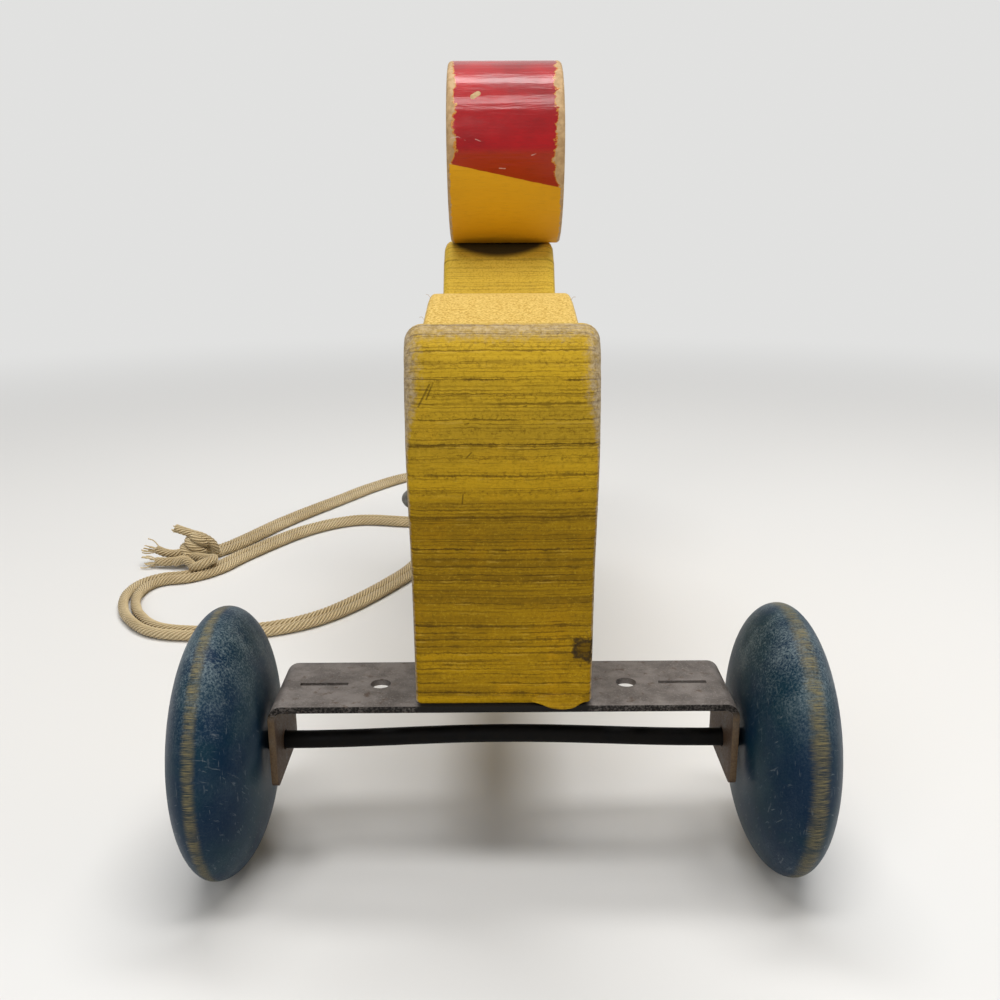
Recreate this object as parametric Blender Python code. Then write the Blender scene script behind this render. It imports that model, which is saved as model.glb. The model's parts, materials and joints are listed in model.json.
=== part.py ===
"""Old wooden duck pull toy, sawn from one board, on steel brackets and turned wheels.

The duck faces +Y.  Every station below is measured from the rear axle and from the
floor, and the empty named duck carries the whole toy so that the origin lies under
the middle of its box.
"""
import math

import bmesh
import bpy
from mathutils import Matrix, Vector

MM = 0.001
GAP = 0.3 * MM

# Board that the body and the head are sawn from
BOARD = 40 * MM
EDGE_STEPS = 3
SAWN_EDGE = 1.5 * MM
TAIL_TIP = (-16 * MM, 128 * MM)
TAIL_WEAR = 3.2 * MM
NECK_RIDGE = (163 * MM, 138 * MM)
NECK_WEAR = 1.8 * MM
WEAR_REACH = 26 * MM
BELLY_Z = 46 * MM
SEAT_Z = 141.2 * MM
SEAT_BACK_Y = 171 * MM
SEAT_FRONT_Y = 198 * MM

# Head: a round with a flattened crown and a tapered bill
HEAD_Y = 178 * MM
HEAD_Z = 175 * MM
HEAD_RADIUS = 34 * MM
CROWN_RISE = 29.5 * MM
HEAD_SHIFT_X = 2.4 * MM
FOREHEAD_ANGLE = 25
BILL_ROOT_Y = 209 * MM
BILL_TIP_Y = 246 * MM
BILL_TIP_WIDTH = 0.6

# Dowel that the head turns on
PEG_Y = 184 * MM
PEG_RADIUS = 4.75 * MM
PEG_DEPTH = 28 * MM
PEG_RISE = 26 * MM

# Turned bun wheels
REAR_RADIUS = 32 * MM
REAR_TRACK = 66.5 * MM
REAR_BULGES = (10.6 * MM, 9.2 * MM)
FRONT_RADIUS = 20 * MM
FRONT_BULGES = (10 * MM, 10 * MM)
FRONT_Y = 165 * MM
HUB_FLAT = 0.3
BUN_POWER = 2.05
CAP_RECESS_RADIUS = 6.4 * MM
CAP_RECESS_DEPTH = 4 * MM

# Axles and their push-on end caps
AXLE_RADIUS = 2.1 * MM
CAP_RADIUS = 5.6 * MM
CAP_THICKNESS = 3.2 * MM

# Bent steel brackets
STEEL = 1.5 * MM
BEND_RADIUS = 3.2 * MM
PLATE_TOP_Z = BELLY_Z - GAP
REAR_BRACKET_WIDTH = 107.4 * MM
REAR_BRACKET_Y = 1.4 * MM
FRONT_BRACKET_WIDTH = 28 * MM
BRACKET_DEPTH = 24.3 * MM
EAR_BELOW_AXLE = 7 * MM
EAR_CORNER = 2.2 * MM
SPARE_HOLE_X = 29.1 * MM
SPARE_HOLE_RADIUS = 2.4 * MM
SLIT_X = 42.5 * MM
SLIT_SIZE = (11.4 * MM, 1.4 * MM)

# Nails, the domed side nail and the screw eye
NAIL_HEAD_RADIUS = 3.4 * MM
NAIL_HEAD = 1.1 * MM
NAIL_SHANK_RADIUS = 1.4 * MM
NAIL_LENGTH = 24 * MM
REAR_NAIL_X = 11 * MM
FRONT_NAIL_Y = 7.5 * MM
FRONT_AXLE_OVERHANG = 2 * MM
DOME_NAIL_Y = 9.5 * MM
DOME_NAIL_Z = 89 * MM
DOME_NAIL_RADIUS = 2.5 * MM
DOME_NAIL_RISE = 3.2 * MM
DOME_NAIL_SHANK = 14 * MM
EYE_Z = 62 * MM
EYE_RING_Y = 232 * MM
EYE_RING_RADIUS = 6 * MM
EYE_WIRE = 1.1 * MM
EYE_SHANK_START_Y = 206 * MM

# Doubled pull cord, laid on the floor beside the toy
CORD_RADIUS = 2 * MM
CORD_REST_Z = CORD_RADIUS + 0.1 * MM
CORD_SPACING = 4.7 * MM
CORD_POINTS = 80
CORD_BEND_SHARE = 20 * MM
KNOT_AT = (-136.5 * MM, 222.5 * MM)
KNOT_SIZE = (15 * MM, 20 * MM, 13 * MM)

ROUND_STEPS = 48
MIDDLE_Y = (BILL_TIP_Y - REAR_RADIUS) / 2


def clear_scene():
    for old in list(bpy.data.objects):
        bpy.data.objects.remove(old, do_unlink=True)


def paint(name, colour, roughness, metallic=0.0):
    """A plain Principled material."""
    material = bpy.data.materials.new(name)
    material.use_nodes = True
    shader = material.node_tree.nodes["Principled BSDF"]
    shader.inputs["Base Color"].default_value = (*colour, 1.0)
    shader.inputs["Roughness"].default_value = roughness
    shader.inputs["Metallic"].default_value = metallic
    return material


def place(name, data, material, location=(0, 0, 0), rotation=(0, 0, 0)):
    """Put mesh or curve data on the toy at a station from the rear axle."""
    piece = bpy.data.objects.new(name, data)
    bpy.context.scene.collection.objects.link(piece)
    piece.parent = duck
    piece.location = location
    piece.rotation_euler = rotation
    data.materials.append(material)
    return piece


def mesh_from(name, bm, smooth_angle=None):
    """Close a bmesh into mesh data, shaded smooth up to an angle."""
    bmesh.ops.recalc_face_normals(bm, faces=bm.faces)
    mesh = bpy.data.meshes.new(name)
    bm.to_mesh(mesh)
    bm.free()
    if smooth_angle:
        mesh.shade_smooth()
        mesh.set_sharp_from_angle(angle=math.radians(smooth_angle))
    return mesh


def smooth(points, steps=4):
    """Points along a smooth curve through hand-set ones, both ends included."""
    knots = [Vector(p) for p in points]
    padded = [2 * knots[0] - knots[1], *knots, 2 * knots[-1] - knots[-2]]
    path = []
    for a, b, c, d in zip(padded, padded[1:], padded[2:], padded[3:]):
        for k in range(steps):
            t = k / steps
            cubic = 3 * b - a - 3 * c + d
            square = 2 * a - 5 * b + 4 * c - d
            path.append(0.5 * (2 * b + (c - a) * t + square * t * t + cubic * t ** 3))
    path.append(knots[-1])
    return path


def in_mm(points):
    return [Vector(p) * MM for p in points]


def inward_normals(outline):
    """Unit normals into a closed outline that runs clockwise, evened with their neighbours."""
    count = len(outline)
    normals = []
    for k, here in enumerate(outline):
        before = (here - outline[k - 1]).normalized()
        after = (outline[(k + 1) % count] - here).normalized()
        normals.append(Vector((before.y + after.y, -before.x - after.x)).normalized())
    return [(normals[k - 1] + 2 * normals[k] + normals[(k + 1) % count]).normalized()
            for k in range(count)]


def worn_board(outline, wear):
    """A board sawn to a side outline of (y, z) stations, with edges rounded by wear.

    Loops of the outline run from flank to flank, and each loop over an edge is drawn in
    by the rounding that wear gives for the place.
    """
    bm = bmesh.new()
    inward = inward_normals(outline)
    radii = [wear(spot) for spot in outline]
    loops = []
    for side in (-1, 1):
        for k in range(EDGE_STEPS + 1):
            swing = math.pi / 2 * (k if side > 0 else EDGE_STEPS - k) / EDGE_STEPS
            loop = []
            for spot, normal, radius in zip(outline, inward, radii):
                drawn = spot + normal * radius * (1 - math.cos(swing))
                x = side * (BOARD / 2 - radius * (1 - math.sin(swing)))
                loop.append(bm.verts.new((x, drawn.x, drawn.y)))
            loops.append(loop)
    count = len(outline)
    for left, right in zip(loops, loops[1:]):
        for k in range(count):
            after = (k + 1) % count
            bm.faces.new((left[k], left[after], right[after], right[k]))
    bm.faces.new(loops[0])
    bm.faces.new(loops[-1])
    return bm


def body_wear(spot):
    """Sawn edges, worn rounder round the tail's tip and the neck's ridge."""
    radius = SAWN_EDGE
    for centre, extra in ((TAIL_TIP, TAIL_WEAR), (NECK_RIDGE, NECK_WEAR)):
        near = max(0.0, 1 - (spot - Vector(centre)).length / WEAR_REACH)
        radius += extra * near * near * (3 - 2 * near)
    return radius


def head_wear(spot):
    return SAWN_EDGE


def cutter(name, mesh, location=(0, 0, 0), rotation=(0, 0, 0)):
    """A hidden solid that only cuts."""
    tool = bpy.data.objects.new(name, mesh)
    bpy.context.scene.collection.objects.link(tool)
    tool.parent = duck
    tool.location = location
    tool.rotation_euler = rotation
    tool.hide_render = True
    tool.display_type = "WIRE"
    return tool


def cut(piece, tool):
    boolean = piece.modifiers.new("cut_" + tool.name, "BOOLEAN")
    boolean.operation = "DIFFERENCE"
    boolean.object = tool


def rod_mesh(name, radius, start, end, steps=24):
    """A straight round rod along +Z from start to end."""
    bm = bmesh.new()
    shift = Matrix.Translation((0, 0, (start + end) / 2))
    bmesh.ops.create_cone(bm, cap_ends=True, segments=steps, radius1=radius, radius2=radius,
                          depth=end - start, matrix=shift)
    return mesh_from(name, bm, 40)


def turned_mesh(name, profile, steps=ROUND_STEPS, closed=False):
    """A profile of (radius, height) points turned about Z, as on a lathe."""
    bm = bmesh.new()
    ring = [bm.verts.new((radius, 0, height)) for radius, height in profile]
    edges = [bm.edges.new(pair) for pair in zip(ring, ring[1:])]
    if closed:
        edges.append(bm.edges.new((ring[-1], ring[0])))
    bmesh.ops.spin(bm, geom=ring + edges, axis=(0, 0, 1), cent=(0, 0, 0),
                   angle=2 * math.pi, steps=steps, use_merge=True)
    bmesh.ops.remove_doubles(bm, verts=bm.verts, dist=0.005 * MM)
    return mesh_from(name, bm, 35)


def body_outline():
    tail_and_back = smooth(in_mm([(-9.5, 46), (-10.4, 60), (-12.2, 78), (-16.7, 97), (-19.3, 117),
                                  (-18, 126), (-13, 131.6), (-6, 130), (6, 124.6), (22, 122.2),
                                  (42.3, 126.2), (62, 129.4), (78, 130.6), (100, 127.8),
                                  (120, 122.6), (138, 119.6), (149, 122), (155, 128),
                                  (160.7, 136.7)]))
    seat = [Vector((SEAT_BACK_Y, SEAT_Z)), Vector((SEAT_FRONT_Y, SEAT_Z))]
    breast = smooth([Vector((SEAT_FRONT_Y, SEAT_Z))]
                    + in_mm([(207, 132), (217, 117), (225, 98), (227, 82), (221, 64),
                             (209, 51.5), (196, 46)]))
    return tail_and_back + seat + breast[1:]


def make_body(material):
    """The board body: up-turned tail, saddle back and a neck with a flat seat."""
    board = worn_board(body_outline(), body_wear)
    return place("body", mesh_from("body", board, 35), material)


def head_outline():
    round_part = []
    base_angle = math.degrees(math.acos((SEAT_BACK_Y - HEAD_Y) / HEAD_RADIUS))
    start = 360 - base_angle
    steps = 40
    for k in range(steps + 1):
        angle = math.radians(start + (FOREHEAD_ANGLE - start) * k / steps)
        rise = CROWN_RISE if math.sin(angle) > 0 else HEAD_RADIUS
        round_part.append(Vector((HEAD_Y + HEAD_RADIUS * math.cos(angle),
                                  HEAD_Z + rise * math.sin(angle))))
    base = SEAT_Z + GAP
    round_part[0].y = base
    bill = smooth([round_part[-1]]
                  + in_mm([(213.5, 181), (224, 177.5), (237, 175.2), (246, 169.2), (243.5, 163),
                           (232, 159.5), (218, 157), (209.5, 152), (204, 146)])
                  + [Vector((SEAT_FRONT_Y, base))])
    return round_part + bill[1:]


def make_head(material):
    """The head turns about the dowel, so its origin sits there on the seat."""
    bm = worn_board(head_outline(), head_wear)
    bmesh.ops.bisect_plane(bm, geom=bm.verts[:] + bm.edges[:] + bm.faces[:], dist=0.001 * MM,
                           plane_co=(0, BILL_ROOT_Y, 0), plane_no=(0, 1, 0))
    for v in bm.verts:
        reach = (v.co.y - BILL_ROOT_Y) / (BILL_TIP_Y - BILL_ROOT_Y)
        v.co.x *= 1 - (1 - BILL_TIP_WIDTH) * max(0.0, reach)
    bmesh.ops.translate(bm, verts=bm.verts, vec=(HEAD_SHIFT_X, -PEG_Y, -SEAT_Z))
    return place("head", mesh_from("head", bm, 35), material, (0, PEG_Y, SEAT_Z))


def make_peg(material, body, head):
    """The dowel stands in the neck, and the head drops over it."""
    peg = place("head_peg", rod_mesh("head_peg", PEG_RADIUS, -PEG_DEPTH, PEG_RISE), material,
                (0, PEG_Y, SEAT_Z))
    bore = rod_mesh("peg_bore", PEG_RADIUS + GAP, -PEG_DEPTH - GAP, PEG_RISE + GAP)
    for piece in (body, head):
        cut(piece, cutter("peg_bore_" + piece.name, bore, (0, PEG_Y, SEAT_Z)))
    return peg


def bun_side(radius, bulge):
    """One side of a bun wheel as (radius, height), from the hub out to the rim."""
    rim_steps = 7
    side = []
    for k in range(rim_steps):
        share = math.sin(math.pi / 2 * k / (rim_steps - 1))
        height = bulge * math.sqrt(max(0.0, 1 - share ** BUN_POWER))
        side.append((radius * (HUB_FLAT + (1 - HUB_FLAT) * share), height))
    return side


def bun_profile(radius, bulges, recess):
    """Half section of a turned wheel, from the bore round the rim and back."""
    bore = AXLE_RADIUS + GAP
    inner, outer = bulges
    section = [(bore, inner)] + bun_side(radius, inner)
    section += [(r, -h) for r, h in reversed(bun_side(radius, outer)[:-1])]
    if recess:
        step = -outer + CAP_RECESS_DEPTH
        return section + [(CAP_RECESS_RADIUS, -outer), (CAP_RECESS_RADIUS, step), (bore, step)]
    return section + [(bore, -outer)]


def make_wheel(name, material, radius, bulges, location, outward, recess):
    """A wheel on its axle; outward is the side of its capped face."""
    mesh = turned_mesh(name, bun_profile(radius, bulges, recess), closed=True)
    return place(name, mesh, material, location, (0, -outward * math.pi / 2, 0))


def make_cap(name, material, location, outward):
    """A domed push-on cap on an axle's end."""
    dome = [(CAP_RADIUS * math.cos(a), CAP_THICKNESS * (0.35 + 0.65 * math.sin(a)))
            for a in (math.pi / 2 * k / 4 for k in range(5))]
    profile = [(0, 0), (CAP_RADIUS, 0)] + dome
    return place(name, turned_mesh(name, profile, 20), material, location,
                 (0, outward * math.pi / 2, 0))


def make_axle(name, material, length, location):
    rod = rod_mesh(name, AXLE_RADIUS, -length / 2, length / 2)
    return place(name, rod, material, location, (0, math.pi / 2, 0))


def bracket_strip(width, drop):
    """Half depths along a steel strip that is bent down at both ends into ears.

    Each row is (x, z, half depth) on the strip's outer face, from the middle of the
    plate to the rounded end of one ear, with z measured down from the plate's top.
    """
    half = width / 2
    deep = BRACKET_DEPTH / 2
    rows = [(0, 0, deep), (half - BEND_RADIUS, 0, deep)]
    bend_steps = 6
    for k in range(1, bend_steps + 1):
        a = math.pi / 2 * k / bend_steps
        x = half - BEND_RADIUS + BEND_RADIUS * math.sin(a)
        rows.append((x, BEND_RADIUS * (1 - math.cos(a)), deep))
    corner_steps = 4
    for k in range(corner_steps + 1):
        a = math.pi / 2 * k / corner_steps
        rows.append((half, drop - EAR_CORNER * (1 - math.sin(a)),
                     deep - EAR_CORNER * (1 - math.cos(a))))
    return rows


def bracket_mesh(name, width, drop):
    """A bent sheet, one row of quads from ear to ear, given its thickness inwards."""
    rows = bracket_strip(width, drop)
    strip = [(-x, z, d) for x, z, d in reversed(rows[1:])] + rows
    bm = bmesh.new()
    near = [bm.verts.new((x, -d, -z)) for x, z, d in strip]
    far = [bm.verts.new((x, d, -z)) for x, z, d in strip]
    for k in range(len(strip) - 1):
        bm.faces.new((near[k], near[k + 1], far[k + 1], far[k]))
    bmesh.ops.remove_doubles(bm, verts=bm.verts, dist=0.01 * MM)
    mesh = bpy.data.meshes.new(name)
    bm.to_mesh(mesh)
    bm.free()
    return mesh


def make_bracket(name, material, width, y, axle_y, axle_z):
    drop = PLATE_TOP_Z - axle_z + EAR_BELOW_AXLE
    mesh = bracket_mesh(name, width, drop)
    bracket = place(name, mesh, material, (0, y, PLATE_TOP_Z))
    steel = bracket.modifiers.new("steel", "SOLIDIFY")
    steel.thickness = STEEL
    steel.offset = -1
    steel.use_even_offset = True
    bore = rod_mesh("axle_bore", AXLE_RADIUS + GAP, -width, width)
    cut(bracket, cutter("axle_bore_" + name, bore, (0, axle_y, axle_z), (0, math.pi / 2, 0)))
    return bracket


def punch_spare_holes(bracket):
    """Two spare holes and two slits stay open on the plate beside the body."""
    hole = rod_mesh("spare_hole", SPARE_HOLE_RADIUS, -3 * STEEL, STEEL)
    slit_bm = bmesh.new()
    bmesh.ops.create_cube(slit_bm, size=1)
    bmesh.ops.scale(slit_bm, verts=slit_bm.verts, vec=(*SLIT_SIZE, 4 * STEEL))
    slit = mesh_from("slit", slit_bm)
    for side in (-1, 1):
        tag = "left" if side < 0 else "right"
        cut(bracket, cutter("spare_hole_" + tag, hole,
                             (side * SPARE_HOLE_X, REAR_BRACKET_Y, PLATE_TOP_Z)))
        cut(bracket, cutter("slit_" + tag, slit,
                             (side * SLIT_X, REAR_BRACKET_Y, PLATE_TOP_Z)))


def make_nail(name, material, x, y, body, bracket):
    """A flat-headed nail driven up through the bracket into the body."""
    underside = PLATE_TOP_Z - STEEL - GAP
    tip = 3 * NAIL_SHANK_RADIUS
    profile = [(0, -NAIL_HEAD), (NAIL_HEAD_RADIUS, -NAIL_HEAD), (NAIL_HEAD_RADIUS, 0),
               (NAIL_SHANK_RADIUS, 0), (NAIL_SHANK_RADIUS, NAIL_LENGTH - tip), (0, NAIL_LENGTH)]
    nail = place(name, turned_mesh(name, profile, 16), material, (x, y, underside))
    hole = rod_mesh("hole_" + name, NAIL_SHANK_RADIUS + GAP, -STEEL, NAIL_LENGTH + GAP, 16)
    for piece in (body, bracket):
        cut(piece, cutter(f"hole_{name}_{piece.name}", hole, (x, y, underside)))
    return nail


def make_side_nail(material, body):
    """One domed nail stands proud of the left flank."""
    shank = DOME_NAIL_SHANK
    dome = [(DOME_NAIL_RADIUS * math.cos(a), DOME_NAIL_RISE * math.sin(a))
            for a in (math.pi / 2 * k / 6 for k in range(7))]
    profile = [(0, -shank), (NAIL_SHANK_RADIUS, -shank + 3 * NAIL_SHANK_RADIUS),
               (NAIL_SHANK_RADIUS, 0)] + dome
    spot = (-BOARD / 2 - GAP, DOME_NAIL_Y, DOME_NAIL_Z)
    turn = (0, -math.pi / 2, 0)
    nail = place("side_nail", turned_mesh("side_nail", profile, 24), material, spot, turn)
    hole = rod_mesh("side_nail_hole", NAIL_SHANK_RADIUS + GAP, -shank - GAP, shank, 16)
    cut(body, cutter("side_nail_hole", hole, spot, turn))
    return nail


def tube(name, material, path, radius, resolution):
    """A round wire or cord along a path, with closed ends."""
    curve = bpy.data.curves.new(name, "CURVE")
    curve.dimensions = "3D"
    curve.bevel_depth = radius
    curve.bevel_resolution = resolution
    curve.use_fill_caps = True
    spline = curve.splines.new("POLY")
    spline.points.add(len(path) - 1)
    for point, co in zip(spline.points, path):
        point.co = (*co, 1)
    spline.use_smooth = True
    return place(name, curve, material)


def make_screw_eye(material, body):
    """Wire bent into an open ring on a shank in the breast."""
    path = [Vector((0, EYE_SHANK_START_Y, EYE_Z))]
    path.append(Vector((0, EYE_RING_Y - EYE_RING_RADIUS - 2 * EYE_WIRE, EYE_Z)))
    ring_steps = 22
    opening = math.radians(32)
    for k in range(ring_steps + 1):
        a = math.pi - (2 * math.pi - opening) * k / ring_steps
        path.append(Vector((0, EYE_RING_Y + EYE_RING_RADIUS * math.cos(a),
                            EYE_Z + EYE_RING_RADIUS * math.sin(a))))
    eye = tube("screw_eye", material, path, EYE_WIRE, 2)
    shank = rod_mesh("eye_bore", EYE_WIRE + GAP, -GAP, EYE_RING_Y - EYE_SHANK_START_Y, 16)
    cut(body, cutter("eye_bore", shank, (0, EYE_SHANK_START_Y, EYE_Z), (-math.pi / 2, 0, 0)))
    return eye


def cord_route():
    """Middle line of the doubled cord on the floor, from the breast to the knot."""
    return in_mm([(-35, 218), (-41, 199), (-60, 164), (-77, 145.5), (-100, 137), (-127, 138.7),
                  (-142, 153), (-150, 172), (-150, 187), (-144, 195.5), (-134, 199),
                  (-124.5, 209), (-115, 230), (-95, 264), (-72, 281), (-46, 278), (-15, 272),
                  (15, 280), (34, 303), (31, 335), (8, 360), (-22, 373), (-50, 370),
                  (-69, 349), (-87, 318), (-107.5, 280.7), (-123, 245), (-131.1, 231.9)])


def cord_lead(side):
    """One strand's way from the eye down to the floor: left is -1, right is 1."""
    left = [(0, 233.8, 60), (-7, 233.8, 59.4), (-13, 235.5, 54), (-16.5, 237.5, 40),
            (-20.5, 237, 22), (-25, 231.5, 8), (-29.2, 223.5, 2.3)]
    right = [(0, 233.8, 60), (7, 233.8, 59.4), (12.5, 236.5, 53), (12.5, 243, 38), (3, 249.5, 20),
             (-13, 249.5, 7.5), (-26.5, 240.5, 2.6), (-33.8, 228.5, 2.1)]
    return in_mm(left if side < 0 else right)


def evenly(path, count):
    """Points at even steps along a dense path, closer together where it bends."""
    run = [0.0, (path[1] - path[0]).length]
    for a, b, c in zip(path, path[1:], path[2:]):
        turn = (b - a).angle(c - b)
        run.append(run[-1] + (c - b).length + CORD_BEND_SHARE * turn)
    points = []
    k = 0
    for i in range(count):
        goal = run[-1] * i / (count - 1)
        while k < len(run) - 2 and run[k + 1] < goal:
            k += 1
        share = (goal - run[k]) / (run[k + 1] - run[k])
        points.append(path[k].lerp(path[k + 1], share))
    return points


def cord_path(side):
    """Strands lie side by side, half the spacing off the middle line."""
    middle = smooth(cord_route(), 8)
    floor_run = []
    for k, here in enumerate(middle):
        ahead = middle[min(k + 1, len(middle) - 1)] - middle[max(k - 1, 0)]
        across = Vector((ahead.y, -ahead.x)).normalized()
        spot = here + across * side * CORD_SPACING / 2
        floor_run.append(Vector((spot.x, spot.y, CORD_REST_Z)))
    lead = cord_lead(side)
    lead[0].x = side * GAP / 2
    joined = smooth(lead + floor_run[::8][1:], 8)
    for point in joined:
        point.z = max(point.z, CORD_REST_Z)
    return evenly(joined, CORD_POINTS)


def make_cords(material):
    for tag, side in (("left", -1), ("right", 1)):
        path = cord_path(side)
        tube("pull_cord_" + tag, material, path, CORD_RADIUS, 2)
        length = sum((b - a).length for a, b in zip(path, path[1:]))
        print(f"pull_cord_{tag}: {length:.3f} m")


def make_knot(material):
    """The overhand knot that ties both ends, as one lumpy bun."""
    bm = bmesh.new()
    bmesh.ops.create_uvsphere(bm, u_segments=20, v_segments=12, radius=0.5)
    bmesh.ops.scale(bm, verts=bm.verts, vec=KNOT_SIZE)
    for v in bm.verts:
        waist = 1 - 0.10 * math.cos(v.co.y / KNOT_SIZE[1] * 4 * math.pi)
        v.co.x *= waist
    spot = (*KNOT_AT, KNOT_SIZE[2] / 2 + CORD_REST_Z - CORD_RADIUS)
    turn = (0, 0, math.radians(-30))
    return place("cord_knot", mesh_from("cord_knot", bm, 60), material, spot, turn)


clear_scene()
duck = bpy.data.objects.new("duck", None)
bpy.context.scene.collection.objects.link(duck)
duck.location = (0, -MIDDLE_Y, 0)

yellow = paint("yellow_paint", (0.58, 0.36, 0.035), 0.6)
red = paint("red_paint", (0.42, 0.02, 0.015), 0.25)
blue = paint("blue_paint", (0.02, 0.035, 0.12), 0.55)
steel = paint("old_steel", (0.20, 0.18, 0.15), 0.55, 0.8)
black_iron = paint("black_iron", (0.02, 0.02, 0.02), 0.5, 0.6)
dowel_wood = paint("dowel_wood", (0.55, 0.38, 0.20), 0.7)
cotton = paint("cotton_cord", (0.72, 0.63, 0.46), 0.9)

body = make_body(yellow)
head = make_head(red)
make_peg(dowel_wood, body, head)

rear_bracket = make_bracket("rear_bracket", steel, REAR_BRACKET_WIDTH, REAR_BRACKET_Y, 0,
                            REAR_RADIUS)
punch_spare_holes(rear_bracket)
front_bracket = make_bracket("front_bracket", steel, FRONT_BRACKET_WIDTH, FRONT_Y, FRONT_Y,
                             FRONT_RADIUS)
for tag, side in (("left", -1), ("right", 1)):
    make_nail("rear_nail_" + tag, steel, side * REAR_NAIL_X, REAR_BRACKET_Y, body, rear_bracket)
for tag, side in (("rear", -1), ("front", 1)):
    make_nail("front_nail_" + tag, steel, 0, FRONT_Y + side * FRONT_NAIL_Y, body, front_bracket)

rear_reach = REAR_TRACK + REAR_BULGES[1]
cap_seat = rear_reach - CAP_RECESS_DEPTH + GAP
make_axle("rear_axle", black_iron, 2 * (cap_seat - GAP), (0, 0, REAR_RADIUS))
front_reach = FRONT_BRACKET_WIDTH / 2 + FRONT_AXLE_OVERHANG
make_axle("front_axle", black_iron, 2 * (front_reach - GAP), (0, FRONT_Y, FRONT_RADIUS))
for tag, side in (("left", -1), ("right", 1)):
    make_wheel("rear_wheel_" + tag, blue, REAR_RADIUS, REAR_BULGES,
               (side * REAR_TRACK, 0, REAR_RADIUS), side, True)
    make_cap("rear_axle_cap_" + tag, steel, (side * cap_seat, 0, REAR_RADIUS), side)
    make_cap("front_axle_cap_" + tag, steel, (side * front_reach, FRONT_Y, FRONT_RADIUS), side)
make_wheel("front_wheel", blue, FRONT_RADIUS, FRONT_BULGES, (0, FRONT_Y, FRONT_RADIUS), 1, False)

make_screw_eye(steel, body)
make_side_nail(steel, body)
make_cords(cotton)
make_knot(cotton)
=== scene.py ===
# %% [markdown]
# A worn wooden duck on wheels, seen from behind.
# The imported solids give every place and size. This lesson dresses them: sawn and
# painted boards, dusty turned wheels, patinated steel and a doubled, laid cotton cord.

# %% Load the frame
import json
import math
import random

import bpy
import numpy as np
from mathutils import Matrix, Vector, noise

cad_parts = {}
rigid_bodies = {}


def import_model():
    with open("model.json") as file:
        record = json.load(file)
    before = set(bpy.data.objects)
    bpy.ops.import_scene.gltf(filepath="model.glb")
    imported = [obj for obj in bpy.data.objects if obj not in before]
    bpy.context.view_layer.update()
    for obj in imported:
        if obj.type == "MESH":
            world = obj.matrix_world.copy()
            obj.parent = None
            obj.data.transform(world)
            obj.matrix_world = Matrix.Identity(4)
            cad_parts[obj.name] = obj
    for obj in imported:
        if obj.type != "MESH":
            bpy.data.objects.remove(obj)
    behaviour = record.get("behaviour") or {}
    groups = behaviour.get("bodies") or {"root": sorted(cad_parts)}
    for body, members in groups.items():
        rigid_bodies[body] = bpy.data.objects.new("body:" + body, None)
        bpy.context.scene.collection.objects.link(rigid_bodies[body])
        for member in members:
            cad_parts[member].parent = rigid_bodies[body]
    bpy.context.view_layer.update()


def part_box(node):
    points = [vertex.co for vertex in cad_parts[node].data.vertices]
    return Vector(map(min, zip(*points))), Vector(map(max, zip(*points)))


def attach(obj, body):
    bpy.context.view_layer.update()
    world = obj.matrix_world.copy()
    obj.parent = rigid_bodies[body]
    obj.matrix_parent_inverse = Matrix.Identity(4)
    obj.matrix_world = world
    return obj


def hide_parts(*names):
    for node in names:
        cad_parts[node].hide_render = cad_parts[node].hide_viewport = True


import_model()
MM = 0.001


def middle(node):
    """Centre of a node's box."""
    low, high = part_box(node)
    return Vector([(a + b) / 2 for a, b in zip(low, high)])


def span(node, axis):
    """Length of a node's box along one axis."""
    low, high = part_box(node)
    return high[axis] - low[axis]


AXLE = middle("rear_axle")
print("rear axle at", [round(c, 4) for c in AXLE])

# %% [markdown]
# The camera stands low behind the toy and looks a little down, as in the photograph.
# Its distance and tilt follow from the wheels' outlines and the board's known thickness.
# It could be aimed by a constraint; three turns in a fixed order say the same in numbers.

# %% Camera
CAMERA_BACK = 226.9 * MM
CAMERA_HEIGHT = 155.0 * MM
CAMERA_SIDE = -1.25 * MM
CAMERA_PITCH = 15.7
CAMERA_YAW = -0.17
CAMERA_ROLL = -0.3
LENS = 37.8
SENSOR = 36.0
NEAREST = 0.01


def linked(name, data):
    """A new object in the scene that holds the given data."""
    made = bpy.data.objects.new(name, data)
    bpy.context.scene.collection.objects.link(made)
    return made


camera = linked("camera", bpy.data.cameras.new("camera"))
camera.data.lens = LENS
camera.data.sensor_width = SENSOR
camera.data.clip_start = NEAREST
camera.location = (CAMERA_SIDE, AXLE.y - CAMERA_BACK, CAMERA_HEIGHT)
aim = Matrix.Rotation(math.radians(CAMERA_YAW), 4, "Z")
aim = aim @ Matrix.Rotation(math.radians(90 - CAMERA_PITCH), 4, "X")
aim = aim @ Matrix.Rotation(math.radians(CAMERA_ROLL), 4, "Z")
camera.rotation_euler = aim.to_euler()
bpy.context.scene.camera = camera
print("camera at", [round(c, 4) for c in camera.location])

# %% [markdown]
# Small helpers keep every later cell short. Operators act on whatever is selected, so
# each piece starts from an empty selection and is the only one in edit mode.


# %% Modelling helpers
def deselect():
    if bpy.context.object and bpy.context.object.mode != "OBJECT":
        bpy.ops.object.mode_set(mode="OBJECT")
    bpy.ops.object.select_all(action="DESELECT")


def named(name):
    """Name the primitive that was just added."""
    piece = bpy.context.object
    piece.name = name
    piece.data.name = name
    return piece


def only(piece):
    deselect()
    piece.select_set(True)
    bpy.context.view_layer.objects.active = piece


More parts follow.
